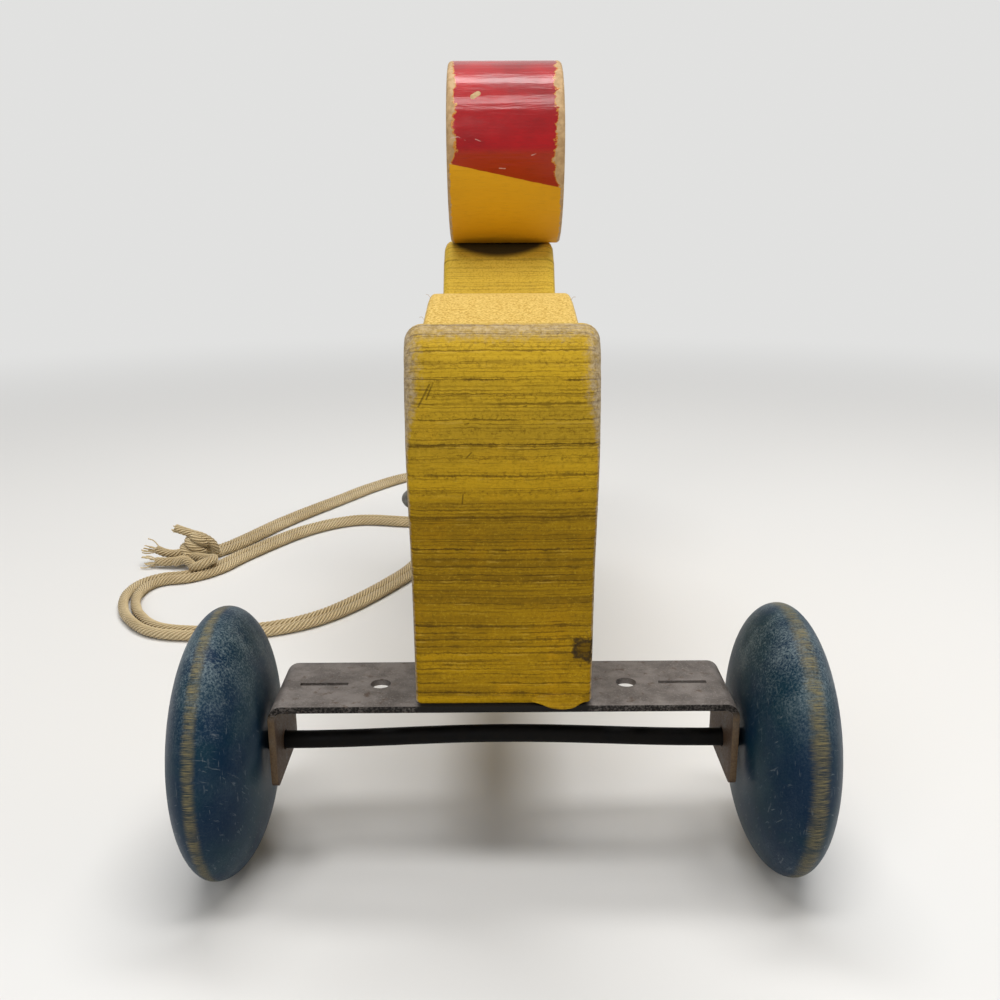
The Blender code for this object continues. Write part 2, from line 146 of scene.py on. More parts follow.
def tidy_mesh(piece, weld=0.002 * MM, fill=False):
    """Weld doubles, close open ends if asked, and turn all faces outwards."""
    only(piece)
    bpy.ops.object.mode_set(mode="EDIT")
    bpy.ops.mesh.select_all(action="SELECT")
    bpy.ops.mesh.remove_doubles(threshold=weld)
    if fill:
        bpy.ops.mesh.fill_holes(sides=0)
    bpy.ops.mesh.select_all(action="SELECT")
    bpy.ops.mesh.normals_make_consistent(inside=False)
    bpy.ops.object.mode_set(mode="OBJECT")


SAWN_ANGLE = 40
TURNED_ANGLE = 50
SHEET_ANGLE = 35
SOFT_ANGLE = 80


def settle(piece, body, angle):
    """Put the piece's place into its mesh, shade it and let it ride on a body."""
    only(piece)
    bpy.ops.object.transform_apply(location=True, rotation=True, scale=True)
    bpy.ops.object.shade_smooth_by_angle(angle=math.radians(angle))
    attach(piece, body)
    print(piece.name, len(piece.data.polygons), "faces")
    return piece


def apply_modifier(piece, name):
    only(piece)
    bpy.ops.object.modifier_apply(modifier=name)


def join(pieces, name):
    """Make one piece of several."""
    deselect()
    for piece in pieces:
        piece.select_set(True)
    bpy.context.view_layer.objects.active = pieces[0]
    bpy.ops.object.join()
    return named(name)


BORE_SIDES = 32


def bore(piece, radius, start, end):
    """Cut a round hole between two points."""
    start, end = Vector(start), Vector(end)
    deselect()
    length = (end - start).length
    bpy.ops.mesh.primitive_cylinder_add(vertices=BORE_SIDES, radius=radius, depth=length)
    tool = bpy.context.object
    turn = Vector((0, 0, 1)).rotation_difference(end - start)
    tool.matrix_world = Matrix.Translation((start + end) / 2) @ turn.to_matrix().to_4x4()
    cut = piece.modifiers.new("bore", "BOOLEAN")
    cut.operation = "DIFFERENCE"
    cut.object = tool
    apply_modifier(piece, "bore")
    bpy.data.objects.remove(tool, do_unlink=True)


def vertex_values(piece, name, values):
    """Store one number on each vertex for the materials to read."""
    layer = piece.data.attributes.new(name, "FLOAT", "POINT")
    layer.data.foreach_set("value", np.asarray(values, dtype=np.float32).ravel())


# %% [markdown]
# Outlines are smooth curves through a few chosen points, given in millimetres from the
# rear axle and the floor, as the solids were drawn. A curve object would do it too, but
# plain points can be spaced finely where saw cuts come and coarsely elsewhere.


# %% Curve helpers
def smooth(points, steps=24):
    """Dense points on a smooth curve through the given ones."""
    knots = [Vector(p) for p in points]
    padded = [2 * knots[0] - knots[1], *knots, 2 * knots[-1] - knots[-2]]
    path = []
    for a, b, c, d in zip(padded, padded[1:], padded[2:], padded[3:]):
        for k in range(steps):
            t = k / steps
            cubic = 3 * b - a - 3 * c + d
            square = 2 * a - 5 * b + 4 * c - d
            path.append(0.5 * (2 * b + (c - a) * t + square * t * t + cubic * t ** 3))
    path.append(knots[-1])
    return path


def paced(path, step):
    """The same path with points at an even step."""
    spots = np.array([tuple(p) for p in path], dtype=float)
    run = np.concatenate([[0], np.cumsum(np.linalg.norm(np.diff(spots, axis=0), axis=1))])
    goals = np.linspace(0, run[-1], max(2, round(run[-1] / step) + 1))
    return np.stack([np.interp(goals, run, spots[:, k]) for k in range(spots.shape[1])], axis=1)


# %% [markdown]
# A sawn board is its side outline carried through the board's thickness. Worn edges are
# not one even bevel, so a grid is wrapped round the outline like veneer: each of its
# rows follows the outline, drawn in more and more towards the flanks by a rounding that
# may change on the way. Saw cuts are pressed into the wrapped rows, and both flanks are
# filled at the end.

# %% Wrapped boards
HALF_BOARD = span("body", 0) / 2
ROUND_ROWS = 6
FACE_ROWS = 21
WEAR_RING = 0.9 * MM
NORMAL_PASSES = 60
ROUND_SHARE = 0.8
RING_SHARE = 0.95
ROOM_PASSES = 14
ROOM_SHARE = 0.75
STRAIGHT = 1e-6


def inward_normals(outline, passes):
    """Unit normals into the outline, evened out along it."""
    ahead = np.roll(outline, -1, axis=0) - np.roll(outline, 1, axis=0)
    normal = np.stack([-ahead[:, 1], ahead[:, 0]], axis=1)
    after = np.roll(outline, -1, axis=0)
    area = np.sum(outline[:, 0] * after[:, 1] - after[:, 0] * outline[:, 1])
    normal *= np.sign(area)
    normal /= np.linalg.norm(normal, axis=1, keepdims=True)
    for _ in range(passes):
        normal = normal + 0.5 * (np.roll(normal, 1, axis=0) + np.roll(normal, -1, axis=0))
        normal /= np.linalg.norm(normal, axis=1, keepdims=True)
    return normal


def even_out(values, passes):
    for _ in range(passes):
        values = 0.5 * values + 0.25 * (np.roll(values, 1) + np.roll(values, -1))
    return values


def room_inside(outline, normal):
    """How far each point can be drawn in before its neighbours cross."""
    step = np.roll(outline, -1, axis=0) - outline
    length = np.maximum(np.linalg.norm(step, axis=1), 1e-7)
    closing = -np.sum((np.roll(normal, -1, axis=0) - normal) * step, axis=1) / length ** 2
    room = np.where(closing > STRAIGHT, ROOM_SHARE / np.maximum(closing, STRAIGHT), 1.0)
    for _ in range(ROOM_PASSES):
        room = np.minimum(room, np.minimum(np.roll(room, 1), np.roll(room, -1)))
    return room


def cross_rows():
    """Each row as (kind, side, swing), from one flank's ring over the face to the other."""
    bend = [math.pi / 2 * k / ROUND_ROWS for k in range(ROUND_ROWS, 0, -1)]
    face = np.linspace(-1, 1, FACE_ROWS)
    left = [("ring", -1, 0)] + [("bend", -1, a) for a in bend]
    right = [("bend", 1, a) for a in reversed(bend)] + [("ring", 1, 0)]
    return left + [("face", t, 0) for t in face] + right


def wrap_board(name, outline, rounding, groove, narrow=None, shift=0.0):
    """Wrap a grid round a closed outline of (y, z) points and fill both flanks."""
    normal = inward_normals(outline, NORMAL_PASSES)
    room = room_inside(outline, normal)
    rounding = np.minimum(rounding, ROUND_SHARE * room)
    ring = np.minimum(rounding + WEAR_RING, RING_SHARE * room)
    run = np.concatenate([[0], np.cumsum(np.linalg.norm(np.diff(outline, axis=0), axis=1))])
    rows = cross_rows()
    count = len(outline)
    deselect()
    bpy.ops.mesh.primitive_grid_add(x_subdivisions=len(rows) - 1, y_subdivisions=count, size=1)
    board = named(name)
    columns = np.arange(count + 1) % count
    width = narrow(outline) if narrow else np.ones(count)
    place = np.zeros((count + 1, len(rows), 3))
    flank = np.zeros((count + 1, len(rows)))
    for j, (kind, side, swing) in enumerate(rows):
        if kind == "face":
            x = side * (HALF_BOARD - rounding)
            inset = groove(run, x)
        elif kind == "bend":
            x = side * (HALF_BOARD - rounding * (1 - math.sin(swing)))
            inset = rounding * (1 - math.cos(swing)) + groove(run, x) * math.cos(swing)
        else:
            x = side * np.full(count, HALF_BOARD)
            inset = ring
            flank[:, j] = 1.0
        spot = outline + normal * inset[:, None]
        place[:, j, 0] = (x * width + shift)[columns]
        place[:, j, 1:] = spot[columns]
    board.data.vertices.foreach_set("co", place.ravel())
    board.data.update()
    vertex_values(board, "along", np.repeat(np.append(run, run[-1])[:, None], len(rows), axis=1))
    vertex_values(board, "flank", flank)
    tidy_mesh(board, fill=True)
    return board


# %% [markdown]
# A saw leaves cuts of uneven depth that lean and waver across the board, and use leaves
# nicks along its edges. Both could be painted as bump alone, but then the outline would
# stay straight, so they are small numbers that go into the wrapped shape.

# %% Saw cuts and nicks
CUT_LEAN = 0.012
CUT_PHASES = 40
CUT_WAVES = ((0.16 * MM, 900, 1), (0.1 * MM, 2300, 2))


def saw_cuts(seed, start, end, gap, depth, wide):
    """Irregular saw cuts between two distances along an outline, as a groove function."""
    draw = random.Random(seed)
    lines = []
    at = start
    while at < end:
        at += draw.uniform(*gap)
        lines.append((at, draw.uniform(*depth), draw.uniform(*wide),
                      draw.uniform(-CUT_LEAN, CUT_LEAN), draw.uniform(0, CUT_PHASES)))

    def groove(run, x):
        total = np.zeros_like(run)
        for place, deep, width, lean, phase in lines:
            wave = sum(size * np.sin(x * rate + turns * phase) for size, rate, turns in CUT_WAVES)
            weight = 0.75 + 0.25 * np.sin(x * 310 + 3 * phase)
            total += deep * weight * np.exp(-((run - place - lean * x - wave) / width) ** 2)
        return total
    return groove


def rough_face(run, x, rate, seed, depth):
    """Fine unevenness that is left on a sawn face."""
    spots = [Vector((s * rate, t * rate, seed)) for s, t in zip(run, x)]
    return depth * np.array([noise.noise(spot) for spot in spots])


def nicked(outline, amount, depth, rate, seed):
    """A rounding in millimetres made uneven by shallow nicks, in metres."""
    spots = zip((outline[:, 0] - AXLE.y) / MM, outline[:, 1] / MM)
    nicks = [1 + depth * noise.noise(Vector((y * rate, z * rate, seed))) for y, z in spots]
    return even_out(amount * np.array(nicks), 2) * MM


# %% [markdown]
# The body is one board: a belly line, the up-turned tail, a saddle back, the neck with
# its flat seat and a full breast. The tail end and the neck keep their saw cuts, so their
# points lie closer together. A plain bevel would round every edge alike, so the rounding
# goes into the wrapped rows instead. Holes for the dowel and nails are bored last.


# %% Body
def stations(points):
    """Millimetre stations from the rear axle as (y, z) in the frame."""
    return [Vector((AXLE.y + y * MM, z * MM)) for y, z in points]


FINE = 0.45 * MM
COARSE = 1.3 * MM
SPAN_STEPS = 24
tail_and_back = smooth(stations([
    (-9.5, 46), (-10.4, 60), (-12.2, 78), (-16.7, 97), (-19.3, 117), (-18, 126), (-13, 131.6),
    (-6, 130), (6, 124.6), (22, 122.2), (42.3, 126.2), (62, 129.4), (78, 130.6), (100, 127.8),
    (120, 122.6), (138, 119.6), (149, 122), (155, 128), (160.7, 136.7)]), SPAN_STEPS)
TAIL_SPANS = 8
BACK_SPANS = 15
tail_line = tail_and_back[:TAIL_SPANS * SPAN_STEPS + 1]
back_line = tail_and_back[TAIL_SPANS * SPAN_STEPS:BACK_SPANS * SPAN_STEPS + 1]
neck_line = tail_and_back[BACK_SPANS * SPAN_STEPS:]
seat_line = stations([(160.7, 136.7), (171, 141.2), (198, 141.2)])
breast_line = smooth(stations([(198, 141.2), (207, 132), (217, 117), (225, 98), (227, 82),
                               (221, 64), (209, 51.5), (196, 46)]))
belly_front = stations([(196, 46), (90, 46)])
belly_rear = stations([(90, 46), (-9.5, 46)])
body_runs = [(belly_rear, COARSE), (tail_line, FINE), (back_line, COARSE), (neck_line, FINE),
             (seat_line, COARSE), (breast_line, COARSE), (belly_front, COARSE)]
body_outline = np.concatenate([paced(line, step)[:-1] for line, step in body_runs])

SAWN_EDGE = 1.5
WEAR_REACH = 26
worn_places = [((-16, 128), 3.2), ((163, 138), 1.8)]


def body_rounding(outline):
    """A sawn edge all round, rubbed rounder at the tail's tip and the neck's ridge."""
    y = (outline[:, 0] - AXLE.y) / MM
    z = outline[:, 1] / MM
    amount = np.full(len(outline), SAWN_EDGE)
    for (at_y, at_z), extra in worn_places:
        near = np.maximum(0, 1 - np.hypot(y - at_y, z - at_z) / WEAR_REACH)
        amount += extra * near ** 2 * (3 - 2 * near)
    return nicked(outline, amount, 0.16, 0.21, 3.0)


TAIL_RUN = (99 * MM, 200 * MM)
NECK_RUN = (280 * MM, 400 * MM)
rear_cuts = saw_cuts(5, *TAIL_RUN, gap=(1.2 * MM, 4.6 * MM), depth=(0.02 * MM, 0.1 * MM),
                     wide=(0.3 * MM, 0.6 * MM))
neck_cuts = saw_cuts(8, *NECK_RUN, gap=(1.0 * MM, 3.4 * MM), depth=(0.03 * MM, 0.12 * MM),
                     wide=(0.4 * MM, 0.7 * MM))


def body_groove(run, x):
    return rear_cuts(run, x) + neck_cuts(run, x) + rough_face(run, x, 420, 1.7, 0.04 * MM)


body = wrap_board("board_body", body_outline, body_rounding(body_outline), body_groove)

PEG = middle("head_peg")
PEG_LOW, PEG_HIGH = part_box("head_peg")
CLEAR = 0.3 * MM
peg_bore = span("head_peg", 0) / 2 + CLEAR
bore(body, peg_bore, (PEG.x, PEG.y, PEG_LOW[2] - CLEAR), (PEG.x, PEG.y, PEG_HIGH[2]))
NAILS = ("rear_nail_left", "rear_nail_right", "front_nail_rear", "front_nail_front")
NAIL_HOLE = 1.7 * MM
for nail in NAILS:
    spot = middle(nail)
    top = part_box(nail)[1][2]
    bore(body, NAIL_HOLE, (spot.x, spot.y, top - span(nail, 2)), (spot.x, spot.y, top + CLEAR))
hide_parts("body")
settle(body, "toy_body", SAWN_ANGLE)

# %% [markdown]
# The head is a second piece of the same board: a round with a flattened crown and a bill
# that narrows towards its tip. It is wrapped like the body, with the taper laid over the
# rows, because its edges have lost the most paint and show their wood.

# %% Head
HEAD_LOW, HEAD_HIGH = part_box("head")
HEAD_CENTRE = Vector((AXLE.y + 178 * MM, 175 * MM))
HEAD_RADIUS = 34 * MM
CROWN_RISE = HEAD_HIGH[2] - HEAD_CENTRE.y
SEAT_BACK = 171
SEAT_FRONT = 198
BASE_Z = HEAD_LOW[2]
FOREHEAD = 25
BILL_ROOT = AXLE.y + 209 * MM
BILL_TIP = HEAD_HIGH[1]
BILL_TIP_WIDTH = 0.6
HEAD_SHIFT = (HEAD_LOW[0] + HEAD_HIGH[0]) / 2

CROWN_STEPS = 80
CROWN_PACE = 0.55 * MM
HEAD_PACE = 0.8 * MM
seat_reach = (AXLE.y + SEAT_BACK * MM - HEAD_CENTRE.x) / HEAD_RADIUS
start_angle = 360 - math.degrees(math.acos(seat_reach))
crown = []
for k in range(CROWN_STEPS + 1):
    angle = math.radians(start_angle + (FOREHEAD - start_angle) * k / CROWN_STEPS)
    rise = CROWN_RISE if math.sin(angle) > 0 else HEAD_RADIUS
    crown.append(HEAD_CENTRE + Vector((HEAD_RADIUS * math.cos(angle), rise * math.sin(angle))))
crown[0].y = BASE_Z
bill = [crown[-1]] + stations([(213.5, 181), (224, 177.5), (237, 175.2), (246, 169.2),
                               (243.5, 163), (232, 159.5), (218, 157), (209.5, 152), (204, 146)])
front_base = Vector((AXLE.y + SEAT_FRONT * MM, BASE_Z))
mid_base = Vector((PEG.y, BASE_Z))
head_outline = np.concatenate([
    paced([mid_base, crown[0]], HEAD_PACE)[:-1],
    paced(crown, CROWN_PACE)[:-1],
    paced(smooth(bill + [front_base]), HEAD_PACE)[:-1],
    paced([front_base, mid_base], HEAD_PACE)[:-1],
])


def bill_taper(outline):
    reach = np.clip((outline[:, 0] - BILL_ROOT) / (BILL_TIP - BILL_ROOT), 0, 1)
    return 1 - (1 - BILL_TIP_WIDTH) * reach


CROWN_RUN = (10 * MM, 130 * MM)
head_cuts = saw_cuts(21, *CROWN_RUN, gap=(1.2 * MM, 3.4 * MM), depth=(0.02 * MM, 0.07 * MM),
                     wide=(0.6 * MM, 1.2 * MM))


def head_groove(run, x):
    return head_cuts(run, x) + rough_face(run, x, 260, 5.2, 0.03 * MM)


head_edges = nicked(head_outline, SAWN_EDGE, 0.22, 0.23, 8.0)
head = wrap_board("round_head", head_outline, head_edges, head_groove, bill_taper, HEAD_SHIFT)
bore(head, peg_bore, (PEG.x, PEG.y, PEG_LOW[2]), (PEG.x, PEG.y, PEG_HIGH[2] + CLEAR))
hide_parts("head")
settle(head, "head", SAWN_ANGLE)

# %% [markdown]
# Turned pieces come off a lathe, so each is one closed profile spun about its axis: first
# the bun wheels with their bore and sunk hub. A flattened sphere would be quicker, but its
# poles lie where the bore has to be.


# %% Wheels
WHEEL_STEPS = 96
ROUND_STEPS = 40
NAIL_STEPS = 28
BUN_ROWS = 30


def turn_on_lathe(name, profile, centre, axis, steps):
    """Spin a profile of (radius, height) points about an axis through a centre."""
    deselect()
    bpy.ops.mesh.primitive_circle_add(vertices=len(profile), radius=1)
    piece = named(name)
    spots = [(r, 0, h) for r, h in profile]
    piece.data.vertices.foreach_set("co", np.array(spots).ravel())
    piece.data.update()
    bpy.ops.object.mode_set(mode="EDIT")
    bpy.ops.mesh.select_all(action="SELECT")
    bpy.ops.mesh.spin(steps=steps, angle=2 * math.pi, center=(0, 0, 0), axis=(0, 0, 1))
    bpy.ops.object.mode_set(mode="OBJECT")
    tidy_mesh(piece)
    turn = Vector((0, 0, 1)).rotation_difference(Vector(axis))
    piece.matrix_world = Matrix.Translation(centre) @ turn.to_matrix().to_4x4()
    return piece


AXLE_RADIUS = span("rear_axle", 2) / 2
HUB_FLAT = 0.3
BUN_POWER = 2.05
RECESS_RADIUS = 6.4 * MM
RECESS_DEPTH = 4 * MM
WHEEL_PLAY = 0.25 * MM
SOFT = 0.5 * MM


def bun_side(radius, bulge):
    """Points of (radius, height) from the hub to the crest of one side."""
    side = []
    for k in range(BUN_ROWS):
        share = math.sin(math.pi / 2 * k / (BUN_ROWS - 1))
        height = bulge * math.sqrt(max(0.0, 1 - share ** BUN_POWER))
        side.append((radius * (HUB_FLAT + (1 - HUB_FLAT) * share), height))
    return side


def bun_profile(radius, inner, outer, recess):
    """A wheel's half section: bore, inner side, crest, outer side and sunk hub."""
    hole = AXLE_RADIUS + WHEEL_PLAY
    profile = [(hole, inner - SOFT), (hole + SOFT, inner)] + bun_side(radius, inner)
    profile += [(r, -h) for r, h in reversed(bun_side(radius, outer)[:-1])]
    if not recess:
        return profile + [(hole + SOFT, -outer), (hole, -outer + SOFT)]
    floor = -outer + RECESS_DEPTH
    return profile + [(RECESS_RADIUS + SOFT, -outer), (RECESS_RADIUS, -outer + SOFT),
                      (RECESS_RADIUS, floor), (hole, floor)]


REAR_CREST = 66.5 * MM
REAR_INNER = 10.6 * MM
REAR_OUTER = 9.2 * MM
FRONT_BULGE = 10 * MM
wheel_shapes = {
    "rear_wheel_left": (-REAR_CREST, REAR_INNER, REAR_OUTER, -1),
    "rear_wheel_right": (REAR_CREST, REAR_INNER, REAR_OUTER, 1),
    "front_wheel": (0.0, FRONT_BULGE, FRONT_BULGE, 1),
}
wheel_centres = {}
for node, (crest, inner, outer, outward) in wheel_shapes.items():
    centre = middle(node)
    centre.x = crest
    wheel_centres[node] = centre
    profile = bun_profile(span(node, 2) / 2, inner, outer, node != "front_wheel")
    wheel = turn_on_lathe("bun_" + node, profile, centre, (-outward, 0, 0), WHEEL_STEPS)
    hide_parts(node)
    settle(wheel, node, TURNED_ANGLE)

# %% [markdown]
# The axles are plain rods with broken edges. The rear one is bent up a little in the
# middle, so the points of its finished mesh are raised by a smooth bow. A domed cap is
# pushed on each end.

# %% Axles and caps
AXLE_BOW = 1.3 * MM
BOW_HALF = 50 * MM
ROD_ROWS = 30
for node in ("rear_axle", "front_axle"):
    half = span(node, 0) / 2
    rod = [(0, half), (AXLE_RADIUS - SOFT, half)]
    rod += [(AXLE_RADIUS, h) for h in np.linspace(half - SOFT, -half + SOFT, ROD_ROWS)]
    rod += [(AXLE_RADIUS - SOFT, -half), (0, -half)]
    piece = turn_on_lathe("rod_" + node, rod, middle(node), (1, 0, 0), ROUND_STEPS)
    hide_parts(node)
    settle(piece, "toy_body", TURNED_ANGLE)
    if node == "rear_axle":
        for v in piece.data.vertices:
            reach = min(1.0, abs(v.co.x) / BOW_HALF)
            v.co.z += AXLE_BOW * math.cos(math.pi / 2 * reach) ** 2

CAP_SKIRT = 0.35


def dome(radius, foot, rise, steps):
    """Quarter round of (radius, height) points from the rim to the top."""
    angles = [math.pi / 2 * k / steps for k in range(steps + 1)]
    return [(radius * math.cos(a), foot + rise * math.sin(a)) for a in angles]


for node in [f"{end}_axle_cap_{side}" for end in ("rear", "front") for side in ("left", "right")]:
    outward = -1 if node.endswith("left") else 1
    radius = span(node, 2) / 2
    tall = span(node, 0)
    shape = [(0, 0), (radius - SOFT, 0), (radius, SOFT)]
    shape += dome(radius, tall * CAP_SKIRT, tall * (1 - CAP_SKIRT), 10)
    spot = middle(node) - Vector((outward * tall / 2, 0, 0))
    piece = turn_on_lathe("cap_" + node, shape, spot, (outward, 0, 0), ROUND_STEPS)
    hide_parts(node)
    settle(piece, "toy_body", TURNED_ANGLE)

# %% [markdown]
# Nails: flat-headed ones hold the brackets, and one with a domed head is driven into the
# left flank. The head turns on a dowel. All are turned as well, so that each closes on
# its axis without a seam.

# %% Nails and dowel
NAIL_HEAD = 1.1 * MM
NAIL_SHANK = 1.4 * MM
for node in NAILS:
    wide = span(node, 0) / 2
    tall = span(node, 2)
    shape = [(0, 0), (wide - SOFT, 0), (wide, SOFT / 2), (wide, NAIL_HEAD),
             (NAIL_SHANK, NAIL_HEAD), (NAIL_SHANK, tall - 3 * NAIL_SHANK), (0, tall)]
    spot = middle(node) - Vector((0, 0, tall / 2))
    piece = turn_on_lathe("driven_" + node, shape, spot, (0, 0, 1), NAIL_STEPS)
    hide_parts(node)
    settle(piece, "toy_body", TURNED_ANGLE)

dome_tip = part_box("side_nail")[0][0]
dome_rise = -HALF_BOARD - CLEAR - dome_tip
dome_shank = span("side_nail", 0) - dome_rise
shape = [(0, -dome_shank), (NAIL_SHANK, -dome_shank + 3 * NAIL_SHANK), (NAIL_SHANK, 0)]
shape += dome(span("side_nail", 2) / 2, 0, dome_rise, 12)
spot = middle("side_nail")
spot.x = dome_tip + dome_rise
side_nail = turn_on_lathe("domed_nail", shape, spot, (-1, 0, 0), ROUND_STEPS)
nail_end = spot.x + dome_shank + CLEAR
bore(body, NAIL_HOLE, (spot.x - MM, spot.y, spot.z), (nail_end, spot.y, spot.z))
NAIL_RIM = 1.1 * NAIL_HOLE
on_flank = body.data.attributes["flank"].data
for v in body.data.vertices:
    if math.hypot(v.co.y - spot.y, v.co.z - spot.z) < NAIL_RIM:
        on_flank[v.index].value = 1.0
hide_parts("side_nail")
settle(side_nail, "toy_body", TURNED_ANGLE)

half = span("head_peg", 2) / 2
peg_radius = span("head_peg", 0) / 2
shape = [(0, half), (peg_radius - SOFT, half), (peg_radius, half - SOFT),
         (peg_radius, -half + SOFT), (peg_radius - SOFT, -half), (0, -half)]
peg = turn_on_lathe("dowel", shape, PEG, (0, 0, 1), ROUND_STEPS)
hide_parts("head_peg")
settle(peg, "toy_body", TURNED_ANGLE)

# %% [markdown]
# The brackets are sheet steel, bent down at both ends into plain ears with rounded lower
# corners. Extruding the ears from a plate would leave a sharp fold, so a grid is laid
# along the strip, folded row by row, given its thickness, and its edges are rounded
# before the holes are bored.

# %% Brackets
STEEL = 1.5 * MM
BEND_RADIUS = 3.2 * MM
EAR_BELOW_AXLE = 7 * MM
EAR_CORNER = 2.2 * MM
BEND_STEPS = 10
CORNER_STEPS = 8
ACROSS = 8
CUT_SOFT = 0.3 * MM
CUT_ANGLE = 60
QUARTERS = (0, 0.25, 0.5, 0.75, 1.0)


def strip_rows(width, depth, drop):
    """Rows of (x, z down, half depth) from the plate's middle to one ear's lower edge."""
    half = width / 2
    rows = [(t * (half - BEND_RADIUS), 0, depth / 2) for t in QUARTERS]
    for k in range(1, BEND_STEPS + 1):
        a = math.pi / 2 * k / BEND_STEPS
        rows.append((half - BEND_RADIUS * (1 - math.sin(a)), BEND_RADIUS * (1 - math.cos(a)),
                     depth / 2))
    rows.append((half, (BEND_RADIUS + drop - EAR_CORNER) / 2, depth / 2))
    for k in range(CORNER_STEPS + 1):
        a = math.pi / 2 * k / CORNER_STEPS
        rows.append((half, drop - EAR_CORNER * (1 - math.sin(a)),
                     depth / 2 - EAR_CORNER * (1 - math.cos(a))))
    return rows


def bend_bracket(node):
    """Fold a strip to a CAD bracket's width, depth and drop."""
    low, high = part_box(node)
    axle = middle(node.replace("bracket", "axle"))
    top = high[2]
    plate_y = middle(node).y
    rows = strip_rows(high[0] - low[0], high[1] - low[1], top - axle.z + EAR_BELOW_AXLE)
    strip = [(-x, z, d) for x, z, d in reversed(rows[1:])] + rows
    deselect()
    bpy.ops.mesh.primitive_grid_add(x_subdivisions=ACROSS, y_subdivisions=len(strip) - 1, size=1)
    bracket = named("bent_" + node)
    spots = [(x, plate_y + d * (2 * k / ACROSS - 1), top - z)
             for x, z, d in strip for k in range(ACROSS + 1)]
    bracket.data.vertices.foreach_set("co", np.array(spots).ravel())
    bracket.data.update()
    tidy_mesh(bracket, 0.02 * MM)
    up = sum((p.normal.z * p.area for p in bracket.data.polygons), 0.0)
    if up < 0:
        bracket.data.flip_normals()
    wall = bracket.modifiers.new("wall", "SOLIDIFY")
    wall.thickness = STEEL
    wall.offset = -1
    wall.use_even_offset = True
    apply_modifier(bracket, "wall")
    softened = bracket.modifiers.new("edges", "BEVEL")
    softened.width = CUT_SOFT
    softened.segments = 2
    softened.limit_method = "ANGLE"
    softened.angle_limit = math.radians(CUT_ANGLE)
    apply_modifier(bracket, "edges")
    reach = high[0] + STEEL
    hole = AXLE_RADIUS + CLEAR
    bore(bracket, hole, (-reach, axle.y, axle.z), (reach, axle.y, axle.z))
    for nail in NAILS:
        if nail.split("_")[0] == node.split("_")[0]:
            spot = middle(nail)
            bore(bracket, NAIL_HOLE, (spot.x, spot.y, top + MM), (spot.x, spot.y, top - 3 * STEEL))
    return bracket


# %% [markdown]
# Both brackets are bent from the same strip, at the sizes of their solids. Only the rear
# plate has two spare holes and two slits; they are punched with a boolean, one by one, as
# a press would do it.

# %% Rear and front bracket
rear_bracket = bend_bracket("rear_bracket")
PLATE_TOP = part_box("rear_bracket")[1][2]
PLATE_Y = middle("rear_bracket").y
SPARE_HOLE_X = 29.1 * MM
SPARE_HOLE = 2.4 * MM
SLIT_X = 42.5 * MM
SLIT_LONG = 11.4 * MM
SLIT_WIDE = 1.4 * MM
PUNCH = 3 * MM
for side in (-1, 1):
    x = side * SPARE_HOLE_X
    bore(rear_bracket, SPARE_HOLE, (x, PLATE_Y, PLATE_TOP + MM), (x, PLATE_Y, PLATE_TOP - PUNCH))
    deselect()
    bpy.ops.mesh.primitive_cube_add(size=1, location=(side * SLIT_X, PLATE_Y, PLATE_TOP))
    slit = bpy.context.object
    slit.scale = (SLIT_LONG, SLIT_WIDE, 5 * MM)
    punch = rear_bracket.modifiers.new("slit", "BOOLEAN")
    punch.object = slit
    apply_modifier(rear_bracket, "slit")
    bpy.data.objects.remove(slit, do_unlink=True)
front_bracket = bend_bracket("front_bracket")
for bracket, node in ((rear_bracket, "rear_bracket"), (front_bracket, "front_bracket")):
    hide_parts(node)
    settle(bracket, "toy_body", SHEET_ANGLE)

# %% [markdown]
# The screw eye is one wire, bent into an open ring on a straight shank. A curve with a
# round bevel makes the wire, and turning it into a mesh fixes its shape.

# %% Screw eye
EYE_LOW, EYE_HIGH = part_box("screw_eye")
EYE_WIRE = span("screw_eye", 0) / 2
EYE_RING = span("screw_eye", 2) / 2 - EYE_WIRE
EYE_CENTRE = Vector((0, EYE_HIGH[1] - EYE_WIRE - EYE_RING, (EYE_LOW[2] + EYE_HIGH[2]) / 2))
EYE_OPENING = 32
EYE_STEPS = 48


def wire(name, path, radius, resolution=4):
    """A round wire along a path, as a closed mesh."""
    curve = bpy.data.curves.new(name, "CURVE")
    curve.dimensions = "3D"
    curve.bevel_depth = radius
    curve.bevel_resolution = resolution
    curve.use_fill_caps = True
    line = curve.splines.new("POLY")
    line.points.add(len(path) - 1)
    for point, spot in zip(line.points, path):
        point.co = (*spot, 1)
    only(linked(name, curve))
    bpy.ops.object.convert(target="MESH")
    piece = bpy.context.object
    tidy_mesh(piece, 0.001 * MM)
    return piece


shank_back = Vector((0, EYE_LOW[1], EYE_CENTRE.z))
shank_front = EYE_CENTRE - Vector((0, EYE_RING + 2 * EYE_WIRE, 0))
eye_path = [shank_back.lerp(shank_front, t) for t in QUARTERS]
for k in range(EYE_STEPS + 1):
    a = math.pi - (2 * math.pi - math.radians(EYE_OPENING)) * k / EYE_STEPS
    eye_path.append(EYE_CENTRE + EYE_RING * Vector((0, math.cos(a), math.sin(a))))
screw_eye = wire("wire_eye", eye_path, EYE_WIRE)
bore(body, EYE_WIRE + CLEAR, shank_back - Vector((0, CLEAR, 0)), shank_front)
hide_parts("screw_eye")
settle(screw_eye, "toy_body", TURNED_ANGLE)

# %% [markdown]
# The pull cord is one cotton cord, threaded through the eye and doubled. Both strands lie
# side by side on the floor, run back along the toy and out in a wide loop, and are tied
# in one knot. One centre line is drawn and both strands are set off from it to its sides,
# so that they stay a cord's width apart; only their way down from the eye is drawn twice.

